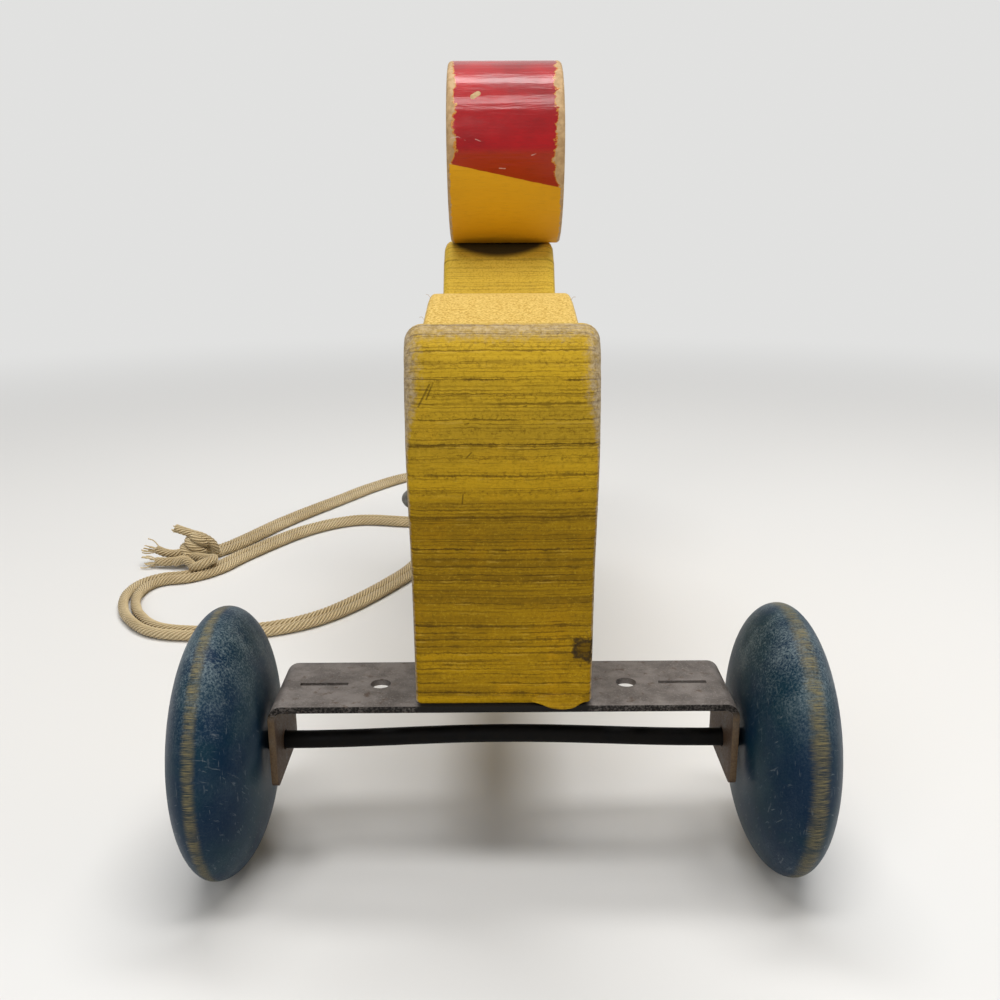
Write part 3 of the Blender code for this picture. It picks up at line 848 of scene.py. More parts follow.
# %% Cord route
CORD_RADIUS = 2 * MM
CORD_SPACING = 4.7 * MM
CORD_REST = CORD_RADIUS + 0.1 * MM
ROUTE_STEPS = 8
KNOT = middle("cord_knot")

floor_route = [(-35, 218), (-41, 199), (-60, 164), (-77, 145.5), (-100, 137), (-127, 138.7),
               (-142, 153), (-150, 172), (-150, 187), (-144, 195.5), (-134, 199), (-124.5, 209),
               (-115, 230), (-95, 264), (-72, 281), (-46, 278), (-15, 272), (15, 280), (34, 303),
               (31, 335), (8, 360), (-22, 373), (-50, 370), (-69, 349), (-87, 318),
               (-107.5, 280.7), (-123, 245), (-131.1, 231.9)]
lead_routes = {
    -1: [(0, 233.8, 60), (-7, 233.8, 59.4), (-13, 235.5, 54), (-16.5, 237.5, 40),
         (-20.5, 237, 22), (-25, 231.5, 8), (-29.2, 223.5, 2.3)],
    1: [(0, 233.8, 60), (7, 233.8, 59.4), (12.5, 236.5, 53), (12.5, 243, 38), (3, 249.5, 20),
        (-13, 249.5, 7.5), (-26.5, 240.5, 2.6), (-33.8, 228.5, 2.1)],
}


def from_axle(point):
    x, y, *z = point
    return Vector((x * MM, AXLE.y + y * MM, z[0] * MM if z else CORD_REST))


def strand_path(side):
    """One strand's centre line from the eye to the knot."""
    line = smooth([from_axle(p) for p in floor_route], ROUTE_STEPS)
    beside = []
    for k, here in enumerate(line):
        ahead = line[min(k + 1, len(line) - 1)] - line[max(k - 1, 0)]
        across = Vector((ahead.y, -ahead.x, 0)).normalized()
        beside.append(here + across * side * CORD_SPACING / 2)
    lead = [from_axle(p) for p in lead_routes[side]]
    lead[0].x = side * CLEAR / 2
    path = smooth(lead + beside[::ROUTE_STEPS][1:], 2 * ROUTE_STEPS)
    for point in path:
        point.z = max(point.z, CORD_REST)
    return path


# %% [markdown]
# Laid cord is a bundle of yarns twisted together. A curve with a bevel would be a smooth
# hose, so rings are set along the route instead: each has one soft lobe for each yarn, and
# is turned a little further than the last. Every point also keeps its angle in the twist,
# for the finish to draw on.

# %% Laid cord
LAY = 15 * MM
YARNS = 8
RING_POINTS = 4 * YARNS
YARN_DEPTH = 0.07
SWELL = 0.04
RING_STEP = 0.8 * MM


def laid_cord(name, path, radius=CORD_RADIUS, phase=0.0):
    """A closed mesh of laid cord along a path."""
    line = paced(path, RING_STEP)
    tangent = np.gradient(line, axis=0)
    tangent /= np.linalg.norm(tangent, axis=1, keepdims=True)
    up = Vector(tangent[0]).orthogonal().normalized()
    angles = [2 * math.pi * k / RING_POINTS for k in range(RING_POINTS)]
    spots, faces = [], []
    for k, (spot, along) in enumerate(zip(line, tangent)):
        along = Vector(along)
        up = (up - along * up.dot(along)).normalized()
        out = along.cross(up)
        swell = radius * (1 + SWELL * noise.noise(Vector((k * 0.13, phase, 0))))
        turn = phase + 2 * math.pi * k * RING_STEP / LAY
        for angle in angles:
            reach = swell * (1 - YARN_DEPTH + YARN_DEPTH * math.cos(YARNS * angle))
            heading = out * math.cos(angle + turn) + up * math.sin(angle + turn)
            spots.append(Vector(spot) + heading * reach)
        if k:
            low = (k - 1) * RING_POINTS
            high = low + RING_POINTS
            for i in range(RING_POINTS):
                j = (i + 1) % RING_POINTS
                faces.append((low + i, low + j, high + j, high + i))
    faces.append(tuple(reversed(range(RING_POINTS))))
    faces.append(tuple(range(len(spots) - RING_POINTS, len(spots))))
    mesh = bpy.data.meshes.new(name)
    mesh.from_pydata(spots, [], faces)
    piece = linked(name, mesh)
    vertex_values(piece, "yarn_cos", np.tile(np.cos(angles), len(line)))
    vertex_values(piece, "yarn_sin", np.tile(np.sin(angles), len(line)))
    tidy_mesh(piece, 0.0001 * MM)
    return piece, line


def path_length(line):
    return float(np.sum(np.linalg.norm(np.diff(line, axis=0), axis=1)))


cords = []
for tag, side in (("left", -1), ("right", 1)):
    strand, line = laid_cord("laid_cord_" + tag, strand_path(side), phase=1.3 * side)
    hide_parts("pull_cord_" + tag)
    settle(strand, "toy_body", SOFT_ANGLE)
    cords.append((strand, line))
    print(tag, "strand", round(path_length(line), 3), "m")

# %% [markdown]
# The knot is an overhand knot in the doubled cord, with a second turn thrown round the
# strands that pass in front of it. Its ends come out short: one stub stands up, and two
# lie to the left, opened into their yarns. A simulated knot would hardly lie like this one,
# so each stretch is laid cord on its own drawn path.

# %% Knot
knot_foot = Vector((KNOT.x, KNOT.y, 0))


def in_knot(right, back, up):
    """A point in millimetres right of, behind and above the knot's foot on the floor."""
    return knot_foot + Vector((right, back, up)) * MM


coil_axis = Vector((0.42, 0.1, 0.9)).normalized()
coil_lean = Vector((-0.2, -1, 0))
coil_up = (coil_lean - coil_axis * coil_axis.dot(coil_lean)).normalized()
coil_side = coil_axis.cross(coil_up)
coil_middle = in_knot(-0.3, 0.5, 8.4)
COIL_TURNS = 2.2
COIL_START = 0.15
COIL_STEPS = 43
COIL_LONG = 8.4
COIL_WIDE = 4.6
COIL_TAPER = 1.5
coil = []
for k in range(COIL_STEPS + 1):
    t = k / COIL_STEPS
    a = 2 * math.pi * (COIL_TURNS * t + COIL_START)
    around = (coil_side * math.cos(a) + coil_up * math.sin(a)) * (COIL_WIDE - COIL_TAPER * t)
    coil.append(coil_middle + (coil_axis * COIL_LONG * (t - 0.5) + around) * MM)
upper_end = [(9, 10.7, 2.1), (7.4, 8.2, 2.2), (5.5, 5, 4.5), (2, 2, 7.5), (-3, -1.5, 7),
             (-8, -3, 5.5), (-13.5, -2, 5.6), (-17.5, -0.5, 6.6)]
lower_end = [(5, 13.1, 2.1), (3.4, 10.6, 2.2), (1.5, 7, 4.5), (0, 2.5, 7.5), (-2, -2.5, 6),
             (-4.5, -6, 4), (-10, -7.2, 3.2), (-16.5, -6.4, 3)]
stub = [(7.5, 4, 4.5), (7, 2, 8.5), (3.4, 0.5, 12), (-2.5, 0.5, 14), (-9, 1.5, 16)]
front_turn = [(-4, -2, 4), (1, -6, 5), (7.5, -10, 5.6), (11.5, -14.5, 7), (9, -20, 7),
              (4, -20.5, 4.8), (2.5, -14, 3), (-3, -8.5, 4.2), (-8, -8, 3)]
knot_paths = [[in_knot(*p) for p in run] for run in (upper_end, lower_end, stub, front_turn)]
knot_paths.append(coil)
PULLED_TIGHT = 0.98
knot_pieces = []
for k, path in enumerate(knot_paths):
    run = laid_cord(f"knot_run_{k}", smooth(path, 10), CORD_RADIUS * PULLED_TIGHT, phase=k * 0.8)
    knot_pieces.append(run[0])

# %% [markdown]
# Where the cord was cut, its yarns have come apart. Particle hair would do for a picture,
# but it leaves no mesh, so each yarn is a thin wire that fans out from the end, by a
# random draw with a fixed seed. All stretches and yarns are then joined into one piece.

# %% Frayed ends
FIBRE_RADIUS = 0.26 * MM
FIBRE_FAN = 0.36
FIBRE_LIFT = 0.5 * MM
FIBRE_BOW = 0.7 * MM
draw = random.Random(31)
frayed_ends = [((-16.5, -0.8, 6.4), (-1.0, 0.12, 0.2), 14, (4.0, 7.5)),
               ((-15.5, -6.5, 3), (-1.0, 0.05, 0.04), 14, (4.0, 7.5)),
               ((-8.6, 1.4, 15.9), (-0.9, 0.2, 0.25), 12, (0.8, 1.6))]
for root, away, count, lengths in frayed_ends:
    away = Vector(away).normalized()
    for _ in range(count):
        fan = Vector([draw.uniform(-1, 1) for _ in range(3)])
        base = in_knot(*root) + fan * MM
        tip = base + (away + fan * FIBRE_FAN).normalized() * draw.uniform(*lengths) * MM
        bow = base.lerp(tip, 0.55) + fan * FIBRE_BOW
        path = smooth([base - away * MM, base, bow, tip], 4)
        for point in path:
            point.z = max(point.z, FIBRE_LIFT)
        fibre = wire(f"knot_fibre_{len(knot_pieces)}", path, FIBRE_RADIUS, 1)
        vertex_values(fibre, "yarn_cos", np.ones(len(fibre.data.vertices)))
        vertex_values(fibre, "yarn_sin", np.zeros(len(fibre.data.vertices)))
        knot_pieces.append(fibre)
knot = join(knot_pieces, "tied_knot")
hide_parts("cord_knot")
settle(knot, "toy_body", SOFT_ANGLE)

# %% [markdown]
# Two small traces of its making and use stay on the board: a run of yellow paint that
# dried over the bracket's rear edge, and a few lifted fibres along the top edges. The run
# is a sphere with its lower half drawn down into a bell, and leans out over the plate.

# %% Paint run and fibres
RUN_X = 12.4 * MM
RUN_Z = 46.3 * MM
RUN_WIDE = 7.2 * MM
RUN_UP = 2.6 * MM
RUN_DOWN = 1.45 * MM
RUN_LEAN = 0.16
RUN_BELL = 1.6
RUN_TURN = 46.6 * MM
RUN_BEND = 1.4 * MM
BELLY_Z = 46 * MM
BELLY_RUN = 99.5 * MM
deselect()
bpy.ops.mesh.primitive_uv_sphere_add(segments=48, ring_count=28, radius=1)
paint_run = named("paint_run")
for v in paint_run.data.vertices:
    x, y, z = v.co
    bell = max(0.0, 1 - (x - RUN_LEAN * (1 - x * x)) ** 2) ** RUN_BELL
    sag = RUN_UP if z > 0 else RUN_DOWN * bell
    height = RUN_Z + z * sag
    below = min(1.0, max(0.0, (RUN_TURN - height) / RUN_BEND))
    below = below * below * (3 - 2 * below)
    centre_y = AXLE.y - (8.5 + 2.2 * below) * MM
    v.co = (RUN_X + x * RUN_WIDE, centre_y + y * (2.1 - 1.2 * below) * MM, height)
heights = np.array([v.co.z for v in paint_run.data.vertices])
vertex_values(paint_run, "along", BELLY_RUN + heights - BELLY_Z)
vertex_values(paint_run, "flank", np.zeros(len(heights)))
settle(paint_run, "toy_body", SOFT_ANGLE)

HAIR_RADIUS = 0.05 * MM
HAIR_LONG = 1.4 * MM
hair_roots = [(-19.3, 70, 129.8, -1.0, 0.9), (-19.6, 44, 126.8, -0.9, 0.4),
              (19.4, 66, 129.6, 1.0, 0.6)]
hairs = []
for k, (x, y, z, dx, dz) in enumerate(hair_roots):
    root = Vector((x * MM, AXLE.y + y * MM, z * MM))
    tip = root + Vector((dx, 0.5, dz)) * HAIR_LONG
    bow = root.lerp(tip, 0.5) + Vector((0, 0.3, 0.4)) * MM
    hairs.append(wire(f"hair_{k}", smooth([root, bow, tip], 6), HAIR_RADIUS, 1))
fibres = join(hairs, "wood_fibres")
settle(fibres, "toy_body", SOFT_ANGLE)

# %% [markdown]
# Finishes are node graphs. They could be wired by hand in the shader editor; a small class
# with one short call for each kind of node keeps them readable as text. The plain numbers
# in the finishes are of three kinds: noise scales in waves for each metre, limits between
# which a noise value fades, and shares of a colour.


# %% Node sums
class Sums:
    """Short calls for one node tree: numbers and colours."""

    def __init__(self, tree):
        self.tree = tree

    def add(self, kind, **settings):
        node = self.tree.nodes.new(kind)
        for key, value in settings.items():
            setattr(node, key, value)
        return node

    def feed(self, socket, value):
        """Link an output to a socket, or set the socket to a constant."""
        if isinstance(value, bpy.types.NodeSocket):
            self.tree.links.new(value, socket)
        elif isinstance(value, tuple) and len(value) == 3 and socket.type == "RGBA":
            socket.default_value = (*value, 1.0)
        else:
            socket.default_value = value

    def math(self, operation, *values, clamp=False):
        node = self.add("ShaderNodeMath", operation=operation, use_clamp=clamp)
        for socket, value in zip(node.inputs, values):
            self.feed(socket, value)
        return node.outputs[0]

    def plus(self, a, b, clamp=False):
        return self.math("ADD", a, b, clamp=clamp)

    def minus(self, a, b, clamp=False):
        return self.math("SUBTRACT", a, b, clamp=clamp)

    def over(self, a, b):
        return self.math("DIVIDE", a, b)

    def size(self, a):
        return self.math("ABSOLUTE", a)

    def times(self, first, *others):
        for other in others:
            first = self.math("MULTIPLY", first, other)
        return first

    def most(self, first, *others):
        for other in others:
            first = self.math("MAXIMUM", first, other)
        return first

    def total(self, *parts):
        """Sum of (value, share) pairs."""
        first, *others = [self.times(value, share) for value, share in parts]
        for other in others:
            first = self.plus(first, other)
        return first

    def centred(self, value, reach):
        """A noise value moved to swing about zero, and scaled."""
        return self.times(self.minus(value, 0.5), reach)

    def mix(self, factor, a, b):
        node = self.add("ShaderNodeMix", data_type="RGBA")
        self.feed(node.inputs["Factor"], factor)
        self.feed(node.inputs[6], a)
        self.feed(node.inputs[7], b)
        return node.outputs[2]

    def mix_value(self, factor, a, b):
        return self.plus(a, self.times(factor, self.minus(b, a)))

    def fit(self, value, low, high, to_low=0.0, to_high=1.0):
        """Carry a range over to another one, smoothly and without leaving it."""
        node = self.add("ShaderNodeMapRange", clamp=True, interpolation_type="SMOOTHSTEP")
        for socket, number in zip(node.inputs, (value, low, high, to_low, to_high)):
            self.feed(socket, number)
        return node.outputs[0]


# %% [markdown]
# Patterns build on the sums: noise in any direction, stretched noise, distances and single
# scratches. Every pattern reads the piece's own coordinates or values on its mesh, so that
# it stays in place when the piece moves.


# %% Node patterns
class Graph(Sums):
    """Short calls for one node tree: patterns, bumps and groups."""

    def noise(self, vector, scale, detail=3.0, rough=0.55, warp=0.0):
        node = self.add("ShaderNodeTexNoise")
        self.feed(node.inputs["Vector"], vector)
        for name, number in (("Scale", scale), ("Detail", detail), ("Roughness", rough),
                             ("Distortion", warp)):
            self.feed(node.inputs[name], number)
        return node.outputs["Fac"]

    def grain(self, scale, detail=3.0, rough=0.55, warp=0.0):
        """Noise that is even in all directions."""
        return self.noise(self.place(), scale, detail, rough, warp)

    def stretched(self, axes, detail=3.0, rough=0.55, warp=0.0):
        """Noise on axes of its own, each a (value, rate) pair or a plain number."""
        spot = [self.times(*axis) if isinstance(axis, tuple) else axis for axis in axes]
        return self.noise(self.vector(*spot), 1.0, detail, rough, warp)

    def place(self):
        return self.add("ShaderNodeTexCoord").outputs["Object"]

    def value(self, name):
        return self.add("ShaderNodeAttribute", attribute_name=name).outputs["Fac"]

    def split(self, vector):
        node = self.add("ShaderNodeSeparateXYZ")
        self.feed(node.inputs[0], vector)
        return node.outputs

    def vector(self, x=0.0, y=0.0, z=0.0):
        node = self.add("ShaderNodeCombineXYZ")
        for socket, value in zip(node.inputs, (x, y, z)):
            self.feed(socket, value)
        return node.outputs[0]

    def bump(self, height, distance, strength):
        node = self.add("ShaderNodeBump")
        self.feed(node.inputs["Height"], height)
        node.inputs["Distance"].default_value = distance
        node.inputs["Strength"].default_value = strength
        return node.outputs[0]

    def distance(self, vector, point):
        node = self.add("ShaderNodeVectorMath", operation="DISTANCE")
        self.feed(node.inputs[0], vector)
        self.feed(node.inputs[1], point)
        return node.outputs["Value"]

    def length(self, a, b):
        return self.distance(self.vector(a, b), (0.0, 0.0, 0.0))

    def stroke(self, x, z, start, end, wide):
        """Mask of a straight scratch between two points of (x, z) millimetres."""
        first = Vector((start[0] * MM, 0, start[1] * MM))
        run = Vector((end[0] * MM, 0, end[1] * MM)) - first
        lead = self.times(self.minus(x, first.x), run.x / run.length_squared)
        rise = self.times(self.minus(z, first.z), run.z / run.length_squared)
        share = self.plus(lead, rise, clamp=True)
        foot_x = self.plus(self.times(share, run.x), first.x)
        foot_z = self.plus(self.times(share, run.z), first.z)
        foot = self.vector(foot_x, 0.0, foot_z)
        return self.fit(self.distance(self.vector(x, 0.0, z), foot), wide, wide * 0.3)

    def scratches(self, x, z, strokes, first_wide, wide):
        """Mask of several scratches, the first with a width of its own."""
        first, *others = strokes
        return self.most(self.stroke(x, z, *first, first_wide),
                         *[self.stroke(x, z, *ends, wide) for ends in others])

    def group(self, tree, **values):
        node = self.add("ShaderNodeGroup", node_tree=tree)
        for name, value in values.items():
            self.feed(node.inputs[name], value)
        return node.outputs


# %% [markdown]
# An effect that returns in several finishes is a node group with named sockets. A finish
# is a Principled material that a function fills in, and it prints the pieces it goes on.


# %% Groups and finishes
def new_group(name, inputs, outputs):
    """A node group with float inputs and outputs, and its graph."""
    tree = bpy.data.node_groups.new(name, "ShaderNodeTree")
    for socket, default in inputs.items():
        made = tree.interface.new_socket(name=socket, in_out="INPUT", socket_type="NodeSocketFloat")
        made.default_value = default
    for socket in outputs:
        tree.interface.new_socket(name=socket, in_out="OUTPUT", socket_type="NodeSocketFloat")
    graph = Graph(tree)
    given = graph.add("NodeGroupInput").outputs
    result = graph.add("NodeGroupOutput").inputs
    print("group", name, "gives", ", ".join(outputs))
    return tree, graph, given, result


def finish_for(name, pieces, build):
    """A Principled material built by a function and given to pieces."""
    material = bpy.data.materials.new(name)
    material.use_nodes = True
    graph = Graph(material.node_tree)
    build(graph, material.node_tree.nodes["Principled BSDF"].inputs)
    for piece in pieces:
        piece.data.materials.clear()
        piece.data.materials.append(material)
    print("finish", name, "on", ", ".join(piece.name for piece in pieces))


# %% [markdown]
# The saw left lines across both boards, in three passes of uneven strength. They could be
# a wave texture, but real strokes are uneven, so each line lies where an unevenly paced
# count along the board passes a half. The group also gives the lips beside the lines, how
# near a bold line is, broad bands of tone and a fine fuzz.

# %% Saw lines
saw_lines, g, given, result = new_group(
    "saw_lines", {"Along": 0.0}, ("Lines", "Lips", "Near", "Bands", "Fuzz"))
across = g.split(g.place())[0]
wander = g.centred(g.grain(45.0, 2.0), 1.4 * MM)
jag = g.centred(g.grain(900.0, 3.0, 0.6), 0.6 * MM)
bent = g.plus(given["Along"], g.plus(wander, jag))


def lane(g, rate, spread, seed, detail):
    """Noise that changes fast along the board and slowly across it."""
    return g.stretched([(bent, rate), (across, spread), seed], detail)


def saw_pass(g, rate, uneven, thin, seed):
    """Masks of one pass's lines and of the raised lip beside them, and the way to a line."""
    pace = g.times(lane(g, rate * 0.45, 3.0, seed, 1.0), uneven)
    count = g.plus(g.times(bent, rate), pace)
    stroke = g.math("FLOOR", count)
    side = g.minus(g.minus(count, stroke), 0.5)
    off = g.size(side)
    chance = g.add("ShaderNodeTexWhiteNoise", noise_dimensions="1D")
    g.feed(chance.inputs["W"], g.plus(stroke, seed))
    patchy = g.stretched([(stroke, 3.7), (across, 70.0), seed], 2.0)
    weight = g.times(g.fit(chance.outputs["Value"], 0.1, 0.75), g.fit(patchy, 0.32, 0.52, 0.2, 1.0))
    swell = g.fit(g.grain(330.0, 4.0, 0.65), 0.3, 0.7, 2.1, 0.55)
    line = g.fit(g.times(off, swell), thin * 1.25, thin * 0.15)
    lip = g.fit(g.size(g.plus(side, thin * 1.7)), thin * 0.9, thin * 0.2)
    return g.times(line, weight), g.times(lip, weight), off


bold, bold_lip, off_bold = saw_pass(g, 300.0, 1.7, 0.1, 1.0)
usual, usual_lip = saw_pass(g, 560.0, 1.7, 0.14, 11.0)[:2]
fine = saw_pass(g, 1150.0, 1.6, 0.2, 4.0)[0]
broken = g.fit(g.grain(170.0), 0.5, 0.62)
broad = lane(g, 75.0, 3.0, 7.0, 3.0)
narrow = lane(g, 300.0, 14.0, 5.0, 3.0)
g.feed(result["Lines"], g.most(g.times(bold, 0.9), g.times(usual, 0.72), g.times(fine, 0.5)))
g.feed(result["Lips"], g.times(g.most(bold_lip, usual_lip), broken))
g.feed(result["Near"], g.fit(off_bold, 0.4, 0.08))
g.feed(result["Bands"], g.total((broad, 0.5), (narrow, 0.5)))
g.feed(result["Fuzz"], lane(g, 3300.0, 230.0, 2.0, 2.0))

# %% [markdown]
# Paint is rubbed off in from an edge. A clean band would look masked, so the limit swings
# with broad and with ragged noise, and a thin lip of the next coat shows beside it.

# %% Rubbed edge
rubbed_edge, g, given, result = new_group(
    "rubbed_edge", {"Rim": 1.0, "Reach": 1.0 * MM, "Scale": 330.0}, ("Bare", "Lip"))
ragged = g.minus(g.grain(given["Scale"], 5.0, 0.65, 0.3), 0.5)
share = g.total((g.grain(75.0, 2.0), 1.2), (ragged, 2.3))
inside = g.minus(given["Rim"], g.times(given["Reach"], g.plus(share, 0.4)))
bare = g.fit(inside, 0.12 * MM, -0.12 * MM)
g.feed(result["Bare"], bare)
g.feed(result["Lip"], g.minus(g.fit(inside, 0.6 * MM, 0.15 * MM), bare, clamp=True))

# %% [markdown]
# Dust settles softly in patches and as single specks. One fine noise serves both, so the
# specks sit where the dust is densest.

# %% Dust and specks
dust_specks, g, given, result = new_group(
    "dust_specks", {"Amount": 0.5, "Scale": 1500.0}, ("Dust", "Specks"))
fine = g.grain(given["Scale"], 3.0, 0.65)
level = g.total((g.grain(70.0, 3.0, 0.6), 0.7), (fine, 0.45))
least = g.minus(0.76, g.times(given["Amount"], 0.12))
g.feed(result["Dust"], g.fit(level, g.minus(0.82, given["Amount"]), 0.95))
g.feed(result["Specks"], g.fit(fine, least, 0.78))

# %% [markdown]
# Yellow paint on the body: thin, golden and olive over the saw lines on the tail end,
# paler and grainier on top, smoother on the flanks. Hands have rubbed the tail's corners
# and its top ridge down to grey wood, and elsewhere only a thin line along the edges. It
# could be four materials with a face each, but the faces blend over round edges, so one
# material mixes them by place and by the flank value on the mesh.

# %% Yellow tones and places
GOLD = (0.50, 0.288, 0.004)
OLIVE = (0.27, 0.148, 0.002)
TAIL_ORANGE = (0.50, 0.262, 0.002)
TAIL_TOP = (0.62, 0.41, 0.03)
LOW_BROWN = (0.15, 0.08, 0.003)
CUT_BROWN_AND_SHADE = (0.06, 0.03, 0.002)
RIDGE_HIGHLIGHT = (0.66, 0.43, 0.06)
PALE_TOP = (0.72, 0.52, 0.17)
GRAINY_TOP = (0.47, 0.28, 0.04)
NECK_YELLOW = (0.64, 0.42, 0.037)
FLANK_YELLOW = (0.47, 0.29, 0.010)
WORN_WOOD = (0.50, 0.40, 0.27)
WORN_DARK = (0.21, 0.155, 0.095)
EDGE_WOOD = (0.40, 0.29, 0.15)
SMUDGE_AND_SHADOW = (0.018, 0.014, 0.010)
TOP_FADE = (AXLE.y - 8 * MM, AXLE.y + 6 * MM)
NECK_FADE = (AXLE.y + 141 * MM, AXLE.y + 148 * MM)
TAIL_FADE = (AXLE.y + 12 * MM, AXLE.y - 4 * MM)
LIGHTER_ABOVE = (84 * MM, 118 * MM)
BAND_FOOT = (60 * MM, 69 * MM)
BAND_HEAD = (100 * MM, 90 * MM)
TAIL_TIP = (0.0, AXLE.y - 16 * MM, 128 * MM)
TAIL_RIDGE = (0.0, AXLE.y - 14.2 * MM, 131.4 * MM)
RIDGE_REACH = 3.6 * MM
SHADOW_LINE = (135.8 * MM, 138.2 * MM)
SHADOW_HALF = 13.5 * MM
SHADOW_SAG = 2.4 * MM
MARK_X = 18.2 * MM
MARK_Z = 59.4 * MM
MARK_WIDE = 2.5 * MM
MARK_TALL = 3.5 * MM
tail_scratches = [((-16.9, 116.2), (-14.6, 120.6)), ((-15.3, 117.6), (-13.9, 120.9)),
                  ((-7.5, 105.2), (-6.4, 106.4)), ((-8.5, 95.0), (-8.3, 97.2)),
                  ((15.7, 97.7), (16.6, 97.9)), ((-7.6, 112.4), (-6.9, 112.6)),
                  ((4.2, 116.0), (4.8, 116.2))]


# %% Yellow coats
def tail_paint(g, saw, z):
    """Golden and olive paint in bands, darkest half way down."""
    paint = g.mix(g.fit(saw["Bands"], 0.39, 0.61), OLIVE, GOLD)
    paint = g.mix(g.fit(g.grain(130.0), 0.5, 0.72, 0.0, 0.5), paint, TAIL_ORANGE)
    paint = g.mix(g.fit(z, *LIGHTER_ABOVE, 0.0, 0.5), paint, TAIL_TOP)
    band = g.times(g.fit(z, *BAND_FOOT), g.fit(z, *BAND_HEAD))
    paint = g.mix(g.times(band, 0.34), paint, LOW_BROWN)
    paint = g.mix(g.fit(saw["Fuzz"], 0.5, 0.75, 0.0, 0.4), paint, LOW_BROWN)
    torn = g.times(saw["Near"], g.fit(g.grain(1300.0, 3.0, 0.65), 0.5, 0.66))
    return g.mix(g.times(torn, 0.55), paint, LOW_BROWN)


def top_and_neck(g, paint, speck, top, neck):
    """Grainy, pale paint on the back and plainer yellow on the neck, with fine specks."""
    grainy = g.mix(g.fit(speck, 0.35, 0.68), GRAINY_TOP, PALE_TOP)
    paint = g.mix(g.times(neck, 0.85), g.mix(top, paint, grainy), NECK_YELLOW)
    paint = g.mix(g.fit(speck, 0.32, 0.5, 0.3, 0.0), paint, LOW_BROWN)
    return g.mix(g.fit(speck, 0.54, 0.74, 0.0, 0.4), paint, TAIL_TOP)


def flank_paint(g, streak):
    """Smooth yellow with streaks along the grain."""
    side = g.mix(g.fit(streak, 0.36, 0.72, 0.0, 0.55), FLANK_YELLOW, OLIVE)
    return g.mix(g.fit(g.grain(28.0), 0.45, 0.7, 0.0, 0.35), side, TAIL_ORANGE)


# %% [markdown]
# Over the coats lie wear and dirt. The worn edge is widest round the tail's tip, where a
# hand takes hold, and a painted shadow under the head and a dark mark are set at their own places.


# %% Yellow wear
def rubbed_off(g, rim, y, z):
    """Mask of paint rubbed off the edges, widest round the tail's tip, and off its ridge."""
    profile = g.vector(0.0, y, z)
    reach = g.fit(g.distance(profile, TAIL_TIP), 24 * MM, 6 * MM, 0.6 * MM, 3.9 * MM)
    crumble = g.centred(g.grain(800.0, 5.0, 0.7), 1.8)
    edge = g.fit(g.plus(g.over(rim, reach), crumble), 1.1, 0.1)
    from_ridge = g.over(g.distance(profile, TAIL_RIDGE), RIDGE_REACH)
    return g.most(edge, g.fit(g.plus(from_ridge, crumble), 1.1, 0.1, 0.0, 0.75))


def shadow_and_dark_mark(g, colour, x, z, rim, neck, rear):
    """A painted shadow under the head on the neck, and a dark mark with a ring low on the tail end.
    """
    # painted shadow under the head: a dark band across the neck that sags towards the middle
    sag = g.times(g.math("POWER", g.over(x, SHADOW_HALF), 2.0), SHADOW_SAG)
    head_shadow = g.times(g.fit(g.minus(z, sag), *SHADOW_LINE), g.fit(rim, 1.8 * MM, 6 * MM))
    colour = g.mix(g.times(head_shadow, neck, 0.95), colour, SMUDGE_AND_SHADOW)
    mark_x = g.over(g.minus(x, MARK_X), MARK_WIDE)
    mark_z = g.over(g.minus(z, MARK_Z), MARK_TALL)
    mark = g.plus(g.length(mark_x, mark_z), g.centred(g.grain(420.0, 4.0, 0.6), 2.2))
    colour = g.mix(g.times(g.fit(mark, 1.2, 0.7, 0.0, 0.7), rear), colour, CUT_BROWN_AND_SHADE)
    ring = g.fit(g.size(g.minus(mark, 0.7)), 0.4, 0.0, 0.0, 0.75)
    return g.mix(g.times(ring, rear), colour, SMUDGE_AND_SHADOW)
